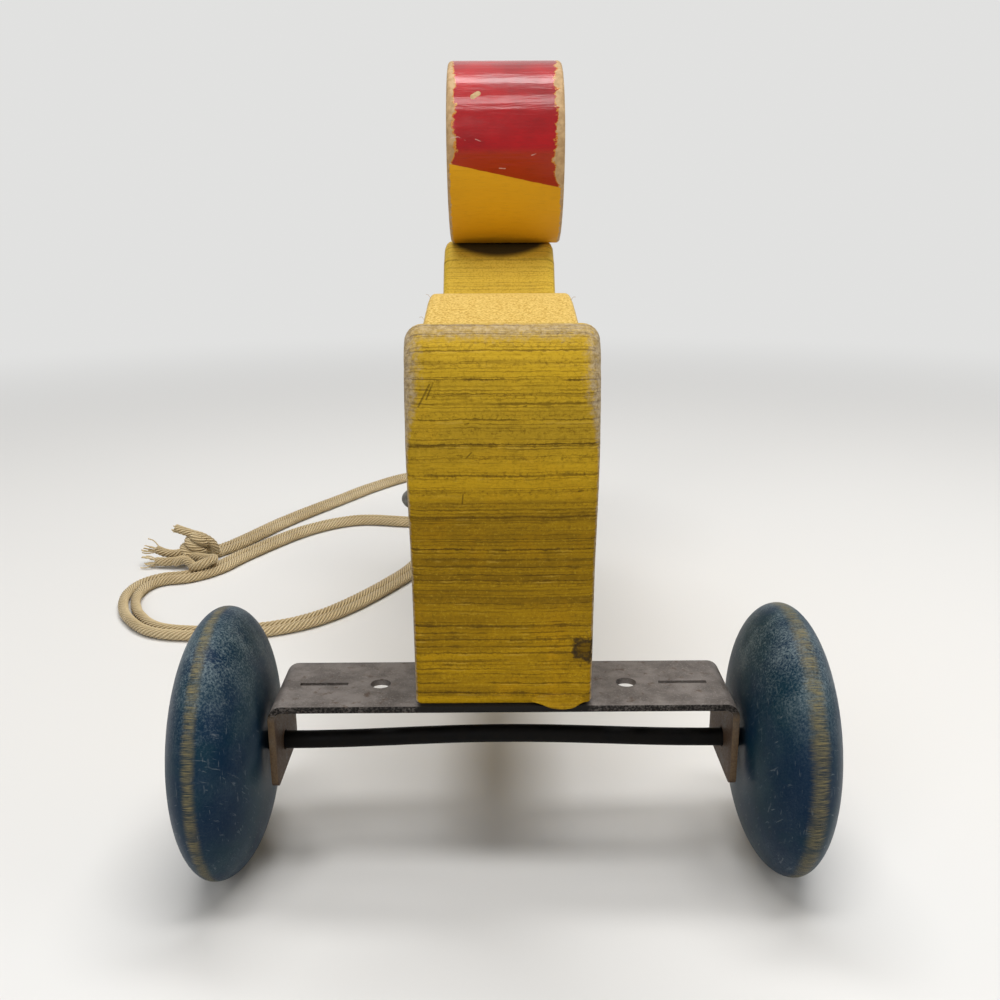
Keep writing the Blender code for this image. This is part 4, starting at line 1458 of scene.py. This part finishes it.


# %% [markdown]
# Last, the yellow finish puts coats, saw lines, flanks, scratches and wear over each other
# in the order in which they came about, and the same masks give the relief. The saw lines
# carry painted shade in their grooves, and their lips a painted highlight.


# %% Yellow board
def yellow_board(g, shader):
    x, y, z = g.split(g.place())
    flank = g.value("flank")
    off_flank = g.minus(1.0, flank)
    saw = g.group(saw_lines, Along=g.value("along"))
    top = g.fit(y, *TOP_FADE)
    neck = g.fit(y, *NECK_FADE)
    tail = g.fit(y, *TAIL_FADE)
    on_top = g.minus(top, neck, clamp=True)
    rear = g.minus(1.0, g.most(top, flank))
    rim = g.minus(HALF_BOARD, g.size(x))
    speck = g.grain(1500.0, 3.0, 0.7)
    streak = g.noise(g.vector(x, g.times(y, 4.0), g.times(z, 150.0)), 5.0, 5.0, 0.6)
    on_face = g.fit(neck, 0.0, 1.0, 0.92, 0.55)
    lines = g.times(saw["Lines"], g.mix_value(on_top, on_face, 0.15))
    lips = g.times(saw["Lips"], g.fit(on_top, 0.0, 1.0, 0.34, 0.08))
    paint = top_and_neck(g, tail_paint(g, saw, z), speck, top, neck)
    # painted shade darkens the saw lines, and a painted highlight lightens their lips
    painted = g.mix(lines, g.mix(lips, paint, RIDGE_HIGHLIGHT), CUT_BROWN_AND_SHADE)
    painted = g.mix(flank, painted, flank_paint(g, streak))
    scratch = g.scratches(x, z, tail_scratches, 0.3 * MM, 0.24 * MM)
    scratch = g.times(scratch, rear, g.fit(speck, 0.3, 0.5))
    painted = g.mix(g.times(scratch, 0.65), painted, CUT_BROWN_AND_SHADE)
    worn = g.times(rubbed_off(g, rim, y, z), off_flank, g.fit(tail, 0.0, 1.0, 0.4, 0.85))
    bare = g.mix(g.fit(g.grain(1100.0, 5.0, 0.7), 0.32, 0.66),
                 g.mix(tail, EDGE_WOOD, WORN_DARK), WORN_WOOD)
    colour = g.mix(worn, painted, bare)
    g.feed(shader["Base Color"], shadow_and_dark_mark(g, colour, x, z, rim, neck, rear))
    shader["Roughness"].default_value = 0.6
    shader["Specular IOR Level"].default_value = 0.1
    sawn = g.plus(g.minus(g.times(saw["Fuzz"], 0.35), lines), g.times(lips, 0.5))
    height = g.plus(g.times(sawn, off_flank), g.times(streak, flank, 0.8))
    g.feed(shader["Normal"], g.bump(g.plus(height, g.times(speck, 0.45)), 0.13 * MM, 0.8))


finish_for("yellow_board", [body, paint_run], yellow_board)

# %% [markdown]
# The head is dipped in two colours. Glossy red covers the crown down to a slanting edge,
# with a brick-red coat where it thins out over the yellow. Along both edges the red has
# flaked off in jagged steps to pale wood, with a thin orange lip; the yellow below has
# lost only a hairline. One rubbed-edge group does both, with a different reach and scale.

# %% Head tones and places
RED = (0.40, 0.002, 0.005)
DEEP_RED = (0.23, 0.001, 0.003)
FUZZY_RED = (0.14, 0.003, 0.005)
BRICK = (0.34, 0.022, 0.001)
HEAD_YELLOW = (0.70, 0.345, 0.001)
LOW_YELLOW_SHADE = (0.64, 0.30, 0.001)
SOILED_YELLOW = (0.40, 0.20, 0.004)
FUZZY_YELLOW = (0.36, 0.16, 0.003)
LIP_ORANGE = (0.60, 0.29, 0.035)
PALE_WOOD = (0.52, 0.35, 0.18)
BROWN_WOOD = (0.38, 0.24, 0.11)
NICK_PINK = (0.62, 0.42, 0.36)
EYE_BLACK = (0.012, 0.011, 0.01)
RED_EDGE_Z = 164.4 * MM
RED_SLANT = -0.21
RED_RISE = 0.30
RISE_FROM = AXLE.y + 150 * MM
BRICK_FADE = (174 * MM, 171 * MM)
CROWN_FADE = (198 * MM, 203 * MM)
BACK_HALF = (AXLE.y + 178 * MM, AXLE.y + 170 * MM)
BACK_THIRD = (AXLE.y + 178 * MM, AXLE.y + 160 * MM)
PAINT_EDGE = 0.12 * MM
EYE_Y = AXLE.y + 192 * MM
EYE_Z = 184 * MM
EYE_RADIUS = 3.6 * MM
EYE_SOFT = 0.1 * MM
head_scratches = [((-16.0, 176.6), (-13.6, 177.0)), ((-13.6, 177.0), (-11.2, 175.8)),
                  ((-7.8, 176.2), (-5.2, 175.2)), ((0.2, 166.9), (2.2, 166.8)),
                  ((11.1, 171.0), (12.5, 171.4))]
crown_chip = ((-8.6, 190.0), (-6.8, 191.0))


# %% Head paint
def above_red_edge(g, off_x, y, z):
    """Height over the slanting, slightly ragged lower edge of the red."""
    ragged = g.centred(g.grain(240.0, 4.0), 0.6 * MM)
    forward = g.most(g.minus(y, RISE_FROM), 0.0)
    edge_z = g.plus(g.plus(g.times(off_x, RED_SLANT), RED_EDGE_Z), g.times(forward, RED_RISE))
    return g.minus(g.plus(z, ragged), edge_z)


def two_coats(g, z, fuzz, red_area):
    """Red over yellow, each uneven in tone and darker in the saw's fine marks; the yellow has
    painted shade towards the bottom.
    """
    tone = g.grain(55.0, 4.0)
    red = g.mix(g.fit(tone, 0.3, 0.7), DEEP_RED, RED)
    red = g.mix(g.fit(z, *BRICK_FADE, 0.0, 0.9), red, BRICK)
    red = g.mix(g.fit(fuzz, 0.45, 0.75, 0.0, 0.25), red, FUZZY_RED)
    # painted shade: the yellow darkens over its lowest 16 mm, where the head faces down
    yellow = g.mix(g.fit(z, BASE_Z + 16 * MM, BASE_Z), HEAD_YELLOW, LOW_YELLOW_SHADE)
    yellow = g.mix(g.fit(tone, 0.5, 0.75, 0.0, 0.22), yellow, SOILED_YELLOW)
    yellow = g.mix(g.fit(fuzz, 0.5, 0.8, 0.0, 0.3), yellow, FUZZY_YELLOW)
    return g.mix(red_area, yellow, red)


def head_paint(g, shader):
    x, y, z = g.split(g.place())
    off_x = g.minus(x, HEAD_SHIFT)
    flank = g.value("flank")
    off_flank = g.minus(1.0, flank)
    saw = g.group(saw_lines, Along=g.value("along"))
    fuzz = g.times(saw["Fuzz"], off_flank)
    above = above_red_edge(g, off_x, y, z)
    red_area = g.fit(above, -PAINT_EDGE, PAINT_EDGE)
    rim = g.minus(HALF_BOARD, g.size(off_x))
    reach = g.times(g.fit(off_x, -MM, MM, 2.5 * MM, 3.1 * MM), g.fit(z, *CROWN_FADE, 1.0, 0.6),
                    g.fit(above, 0.0, 5 * MM, 0.5, 1.0))
    red_rub = g.group(rubbed_edge, Rim=rim, Reach=reach, Scale=260.0)
    low_rub = g.group(rubbed_edge, Rim=rim, Reach=1.0 * MM, Scale=500.0)
    lip = g.times(red_rub["Lip"], red_area, off_flank)
    chip = g.plus(g.stroke(x, z, *crown_chip, 1.3 * MM), g.grain(600.0, 4.0, 0.65))
    chip = g.times(g.fit(chip, 0.95, 1.05), g.fit(y, *BACK_HALF))
    bare = g.most(g.times(red_rub["Bare"], red_area, off_flank),
                  g.times(low_rub["Bare"], off_flank), chip)
    grain = g.grain(480.0, 4.0, 0.6)
    wood = g.mix(g.fit(grain, 0.35, 0.66), BROWN_WOOD, PALE_WOOD)
    colour = g.mix(g.times(lip, 0.85), two_coats(g, z, fuzz, red_area), LIP_ORANGE)
    colour = g.mix(bare, colour, wood)
    nick = g.scratches(x, z, head_scratches, 0.25 * MM, 0.22 * MM)
    nick = g.times(nick, off_flank, g.fit(y, *BACK_THIRD), g.fit(grain, 0.4, 0.58))
    colour = g.mix(g.times(nick, 0.75), colour, NICK_PINK)
    from_eye = g.length(g.minus(y, EYE_Y), g.minus(z, EYE_Z))
    eye = g.times(g.fit(from_eye, EYE_RADIUS + EYE_SOFT, EYE_RADIUS - EYE_SOFT), flank)
    g.feed(shader["Base Color"], g.mix(eye, colour, EYE_BLACK))
    gloss = g.fit(red_area, 0.0, 1.0, 0.6, 0.21)
    g.feed(shader["Roughness"], g.fit(bare, 0.0, 1.0, gloss, 0.75))
    shader["Specular IOR Level"].default_value = 0.32
    ripple = g.stretched([(g.value("along"), 520.0), (x, 60.0), 1.0])
    height = g.total((fuzz, 0.08), (g.times(ripple, off_flank), 1.3))
    g.feed(shader["Normal"], g.bump(g.minus(height, g.times(bare, 0.8)), 0.16 * MM, 0.7))


finish_for("head_paint", [head], head_paint)

# %% [markdown]
# The wheels are deep blue and dusty, with fine scratches. Rolling has worn a narrow stripe
# of olive-tan wood round the crest of each rim, broken by fine grain across it. Each wheel
# has a material of its own, because its patterns run round its own centre.

# %% Wheel paint
BLUE = (0.0015, 0.0150, 0.040)
BLUE_GREEN = (0.0018, 0.022, 0.038)
DUST_GREY = (0.13, 0.17, 0.185)
SPECK_GREY = (0.26, 0.29, 0.30)
STRIPE_TAN = (0.24, 0.195, 0.09)
STRIPE_DARK = (0.035, 0.038, 0.028)
STRIPE_SHARE = {"rear_wheel_left": 0.044, "rear_wheel_right": 0.062, "front_wheel": 0.05}


def dusty_blue(g, dust, off_z, far, radius):
    """Blue paint with dust round the hub, over the upper part and low down."""
    paint = g.mix(g.fit(g.grain(60.0), 0.35, 0.65), BLUE, BLUE_GREEN)
    hub = g.fit(far, radius * 0.95, radius * 0.35, 0.15, 0.5)
    paint = g.mix(g.times(dust["Dust"], hub), paint, DUST_GREY)
    smear = g.total((g.grain(110.0, 3.0, 0.6), 0.35), (g.grain(2000.0, 4.0, 0.75), 0.65))
    upper = g.fit(off_z, radius * 0.25, radius * 0.85)
    lower = g.fit(off_z, -radius * 0.3, -radius * 0.95, 0.0, 0.55)
    settled = g.plus(g.most(upper, lower), 0.07)
    paint = g.mix(g.times(g.fit(smear, 0.44, 0.68), settled), paint, DUST_GREY)
    return g.mix(g.times(dust["Specks"], 0.6), paint, SPECK_GREY)


def worn_stripe(g, x, angle, from_crest, cross, wide):
    """Mask of the stripe round the crest, frayed, drifting and with gaps."""
    fray = g.stretched([(angle, 60.0), 0.0, 3.0], 4.0, 0.7)
    drift = g.stretched([(angle, 1.6), 0.0, 9.0], 1.0)
    gaps = g.stretched([(angle, 11.0), (x, 120.0), 5.0], 3.0, 0.65)
    off = g.plus(g.plus(from_crest, g.centred(fray, wide * 1.3)), g.centred(drift, wide * 0.9))
    return g.times(g.fit(off, wide * 1.35, wide * 0.25), g.fit(cross, 0.34, 0.6, 0.3, 1.0),
                   g.fit(gaps, 0.34, 0.56, 0.4, 1.0))


def wheel_paint(centre, radius, wide):
    """Blue paint for a wheel with its crest in a plane through the centre."""
    def build(g, shader):
        x, y, z = g.split(g.place())
        off_y = g.minus(y, centre.y)
        off_z = g.minus(z, centre.z)
        angle = g.math("ARCTAN2", off_z, off_y)
        far = g.length(off_y, off_z)
        dust = g.group(dust_specks, Amount=0.36, Scale=2100.0)
        rings = g.stretched([(angle, 9.0), (far, 1500.0), (x, 1500.0)], 2.0)
        scuff = g.stretched([(g.plus(off_z, off_y), 1100.0), (x, 300.0),
                             (g.minus(off_z, off_y), 170.0)], 3.0, 0.6, 0.6)
        paint = dusty_blue(g, dust, off_z, far, radius)
        paint = g.mix(g.fit(rings, 0.64, 0.74, 0.0, 0.2), paint, SPECK_GREY)
        paint = g.mix(g.fit(scuff, 0.62, 0.74, 0.0, 0.26), paint, SPECK_GREY)
        cross = g.stretched([(angle, 250.0), (x, 260.0), 0.0], 3.0, 0.65)
        stripe = worn_stripe(g, x, angle, g.size(g.minus(x, centre.x)), cross, wide)
        wood = g.mix(g.fit(cross, 0.36, 0.66), STRIPE_DARK, STRIPE_TAN)
        g.feed(shader["Base Color"], g.mix(g.times(stripe, 0.9), paint, wood))
        g.feed(shader["Roughness"], g.fit(dust["Dust"], 0.0, 1.0, 0.38, 0.62))
        shader["Specular IOR Level"].default_value = 0.08
        height = g.total((rings, 0.25), (g.times(cross, stripe), 0.8))
        g.feed(shader["Normal"], g.bump(height, 0.06 * MM, 0.6))
    return build


for node, centre in wheel_centres.items():
    piece = bpy.data.objects["bun_" + node]
    radius = span(node, 2) / 2
    finish_for("paint_" + node, [piece], wheel_paint(centre, radius, radius * STRIPE_SHARE[node]))

# %% [markdown]
# Metals: the brackets have a dark grey-brown patina with a fine bright speckle, rust on
# the ears and brown, rough-cut edges on the ears. The plate's cut edges are painted shade,
# and a strip of painted shadow lies on the plate along the board's edge. The rods are
# blackened; nails, caps and the eye are dull grey steel. Old metal is hardly a mirror, so
# it is only partly metallic.

# %% Metals
PATINA = (0.18, 0.158, 0.145)
DARK_PATINA = (0.085, 0.072, 0.064)
BRIGHT_SPECK = (0.29, 0.27, 0.25)
RUST = (0.055, 0.026, 0.009)
CUT_EDGE = (0.14, 0.095, 0.05)
SHADED = (0.008, 0.007, 0.006)
ROD_TONES = ((0.001, 0.001, 0.001), (0.006, 0.005, 0.004))
STEEL_TONES = ((0.07, 0.068, 0.06), (0.20, 0.19, 0.17))
RUST_FADE = (PLATE_TOP - 1.4 * MM, PLATE_TOP - 4 * MM)


def patinated(plate_y, half_deep):
    """Sheet steel for a bracket with its plate centred on a given line."""
    def build(g, shader):
        x, y, z = g.split(g.place())
        tone = g.grain(130.0, 5.0, 0.65)
        fine = g.grain(1900.0, 3.0, 0.7)
        colour = g.mix(g.fit(tone, 0.32, 0.68), DARK_PATINA, PATINA)
        colour = g.mix(g.fit(fine, 0.5, 0.72, 0.0, 0.6), colour, BRIGHT_SPECK)
        below = g.fit(z, *RUST_FADE)
        rust = g.times(below, g.fit(tone, 0.25, 0.5))
        spots = g.fit(g.grain(420.0, 4.0), 0.58, 0.70, 0.0, 0.6)
        colour = g.mix(g.most(g.times(rust, 0.88), spots), colour, RUST)
        off = g.size(g.minus(y, plate_y))
        # the cut edges: brown on the ears, painted shade on the plate
        cut = g.times(g.fit(off, half_deep - 0.35 * MM, half_deep - 0.1 * MM),
                      g.fit(fine, 0.32, 0.6, 0.35, 1.0), g.fit(below, 0.0, 1.0, 1.0, 0.6))
        colour = g.mix(cut, colour, g.mix(below, SHADED, CUT_EDGE))
        # lip: a strip of painted shadow on the plate along the board's edge, across its width
        lip = g.times(g.fit(off, half_deep - 2.2 * MM, half_deep - 1.2 * MM),
                      g.fit(g.size(x), HALF_BOARD + 0.6 * MM, HALF_BOARD - 1.4 * MM))
        g.feed(shader["Base Color"], g.mix(lip, colour, SHADED))
        g.feed(shader["Metallic"], g.fit(rust, 0.0, 1.0, 0.4, 0.1))
        shader["Specular IOR Level"].default_value = 0.2
        g.feed(shader["Roughness"], g.fit(fine, 0.3, 0.7, 0.45, 0.68))
        g.feed(shader["Normal"], g.bump(g.plus(g.times(fine, 0.5), tone), 0.07 * MM, 0.7))
    return build


def plain_metal(dark, light, shine, scale, metal):
    """Dull metal between two tones."""
    def build(g, shader):
        tone = g.grain(scale, 4.0, 0.6)
        g.feed(shader["Base Color"], g.mix(g.fit(tone, 0.3, 0.7), dark, light))
        shader["Metallic"].default_value = metal
        shader["Specular IOR Level"].default_value = metal
        g.feed(shader["Roughness"], g.fit(tone, 0.3, 0.7, shine, shine + 0.2))
        g.feed(shader["Normal"], g.bump(tone, 0.05 * MM, 0.5))
    return build


for bracket, node in ((rear_bracket, "rear_bracket"), (front_bracket, "front_bracket")):
    finish_for("steel_" + node, [bracket], patinated(middle(node).y, span(node, 1) / 2))
rods = [bpy.data.objects[name] for name in ("rod_rear_axle", "rod_front_axle")]
finish_for("black_rod", rods, plain_metal(*ROD_TONES, 0.5, 300.0, 0.1))
small_steel = [o for o in bpy.data.objects if o.name.startswith(("cap_", "driven_"))]
small_steel += [side_nail, screw_eye]
finish_for("dull_steel", small_steel, plain_metal(*STEEL_TONES, 0.35, 500.0, 0.6))

# %% [markdown]
# The dowel is bare wood with streaks along it. The cord is soiled cream cotton: its yarns
# are drawn from their angle in the twist, which the mesh keeps, so the painted shade in the
# furrows stays between the lobes wherever the cord turns.

# %% Dowel and cord
DOWEL_DARK = (0.34, 0.21, 0.09)
DOWEL_LIGHT = (0.52, 0.36, 0.19)
COTTON = (0.62, 0.49, 0.28)
COTTON_LIGHT = (0.76, 0.64, 0.42)
COTTON_SOILED = (0.47, 0.35, 0.18)
COTTON_FURROW_SHADE = (0.26, 0.175, 0.075)


def bare_dowel(g, shader):
    x, y, z = g.split(g.place())
    streak = g.stretched([(x, 700.0), (y, 700.0), (z, 40.0)], 4.0)
    g.feed(shader["Base Color"], g.mix(g.fit(streak, 0.35, 0.65), DOWEL_DARK, DOWEL_LIGHT))
    shader["Roughness"].default_value = 0.7
    g.feed(shader["Normal"], g.bump(streak, 0.08 * MM, 0.6))


def cotton(g, shader):
    turn = g.math("ARCTAN2", g.value("yarn_sin"), g.value("yarn_cos"))
    yarn = g.math("COSINE", g.times(turn, float(YARNS)))
    soil = g.grain(45.0, 4.0, 0.6)
    fluff = g.grain(2600.0, 3.0, 0.7)
    colour = g.mix(g.fit(soil, 0.35, 0.7), COTTON, COTTON_SOILED)
    colour = g.mix(g.fit(fluff, 0.4, 0.75, 0.0, 0.5), colour, COTTON_LIGHT)
    # painted shade in the furrows between the yarns
    furrow = g.plus(yarn, g.centred(fluff, 1.2))
    colour = g.mix(g.fit(furrow, 0.1, -1.0, 0.0, 0.7), colour, COTTON_FURROW_SHADE)
    g.feed(shader["Base Color"], colour)
    shader["Roughness"].default_value = 0.9
    shader["Specular IOR Level"].default_value = 0.2
    shader["Sheen Weight"].default_value = 0.2
    shader["Sheen Roughness"].default_value = 0.5
    g.feed(shader["Normal"], g.bump(g.total((yarn, 0.9), (fluff, 0.8)), 0.2 * MM, 0.9))


finish_for("bare_dowel", [peg, fibres], bare_dowel)
finish_for("cotton", [cord for cord, line in cords] + [knot], cotton)

# %% [markdown]
# A pale matt floor, far larger than the toy, carries it. Rays that come from the camera,
# or from a glossy or clear surface, see its far part and the world as one plain pale
# tone, so no horizon shows from any side. A curved backdrop would show its end from the
# other sides. The floor near the toy stays a plain surface and keeps the shadow.

# %% Floor
FLOOR_RADIUS = 8.0
FLOOR_MIDDLE = 0.6
FADE_FROM = 0.3
FADE_TO = 1.0
FLOOR_TONE = (0.72, 0.71, 0.69)
BLACK = (0.0, 0.0, 0.0)
PALE = (0.92, 0.92, 0.91)
SEEN_LEVEL = 0.82
LIGHT_LEVEL = 0.2
deselect()
bpy.ops.mesh.primitive_circle_add(vertices=96, radius=1, fill_type="NGON")
floor = named("floor")
only(floor)
bpy.ops.object.mode_set(mode="EDIT")
bpy.ops.mesh.select_all(action="SELECT")
bpy.ops.transform.resize(value=(FLOOR_RADIUS, FLOOR_RADIUS, 1))
bpy.ops.mesh.inset(thickness=FLOOR_RADIUS - FLOOR_MIDDLE)
bpy.ops.object.mode_set(mode="OBJECT")


def seen_rays(g):
    """One for rays from the camera or from a glossy or clear surface."""
    rays = g.add("ShaderNodeLightPath").outputs
    seen = g.plus(rays["Is Camera Ray"], rays["Is Glossy Ray"], clamp=True)
    return g.plus(seen, rays["Is Transmission Ray"], clamp=True)


def pale_floor(g, shader):
    far = g.fit(g.distance(g.place(), BLACK), FADE_FROM, FADE_TO)
    fade = g.times(far, seen_rays(g))
    g.feed(shader["Base Color"], g.mix(fade, FLOOR_TONE, BLACK))
    shader["Emission Color"].default_value = (*PALE, 1)
    g.feed(shader["Emission Strength"], g.times(fade, SEEN_LEVEL))
    shader["Roughness"].default_value = 0.6
    shader["Specular IOR Level"].default_value = 0.0


finish_for("pale_floor", [floor], pale_floor)


# %% [markdown]
# The light on the toy comes from two long lamps overhead, which draw the two shines on the
# head, and two weak ones, behind the camera and to the right. Large lamps give soft
# shadows without more power.

# %% Light
TARGET = Vector((0, 0, 0.09))


def lamp(name, spot, long, wide, power):
    """A rectangular lamp that points at the toy's middle."""
    light = bpy.data.lights.new(name, "AREA")
    light.shape = "RECTANGLE"
    light.size = long
    light.size_y = wide
    light.energy = power
    holder = linked(name, light)
    holder.location = spot
    holder.rotation_euler = (TARGET - Vector(spot)).to_track_quat("-Z", "Y").to_euler()
    print("lamp", name, power, "W")


lamp("overhead_rear", (0.05, -0.36, 1.12), 0.9, 0.22, 7.0)
lamp("overhead_front", (0.05, 0.24, 1.12), 0.9, 0.22, 7.0)
lamp("behind_camera", (-0.45, -1.05, 0.75), 0.7, 0.7, 4.2)
lamp("right_fill", (0.95, -0.3, 0.5), 0.7, 0.7, 2.0)
world = bpy.data.worlds.new("studio")
world.use_nodes = True
background = world.node_tree.nodes["Background"].inputs
background["Color"].default_value = (*PALE, 1)
g = Graph(world.node_tree)
g.feed(background["Strength"], g.fit(seen_rays(g), 0.0, 1.0, LIGHT_LEVEL, SEEN_LEVEL))
bpy.context.scene.world = world
bpy.context.scene.view_settings.view_transform = "Standard"

# %% [markdown]
# At the end the selection is cleared.

# %% Finish
deselect()
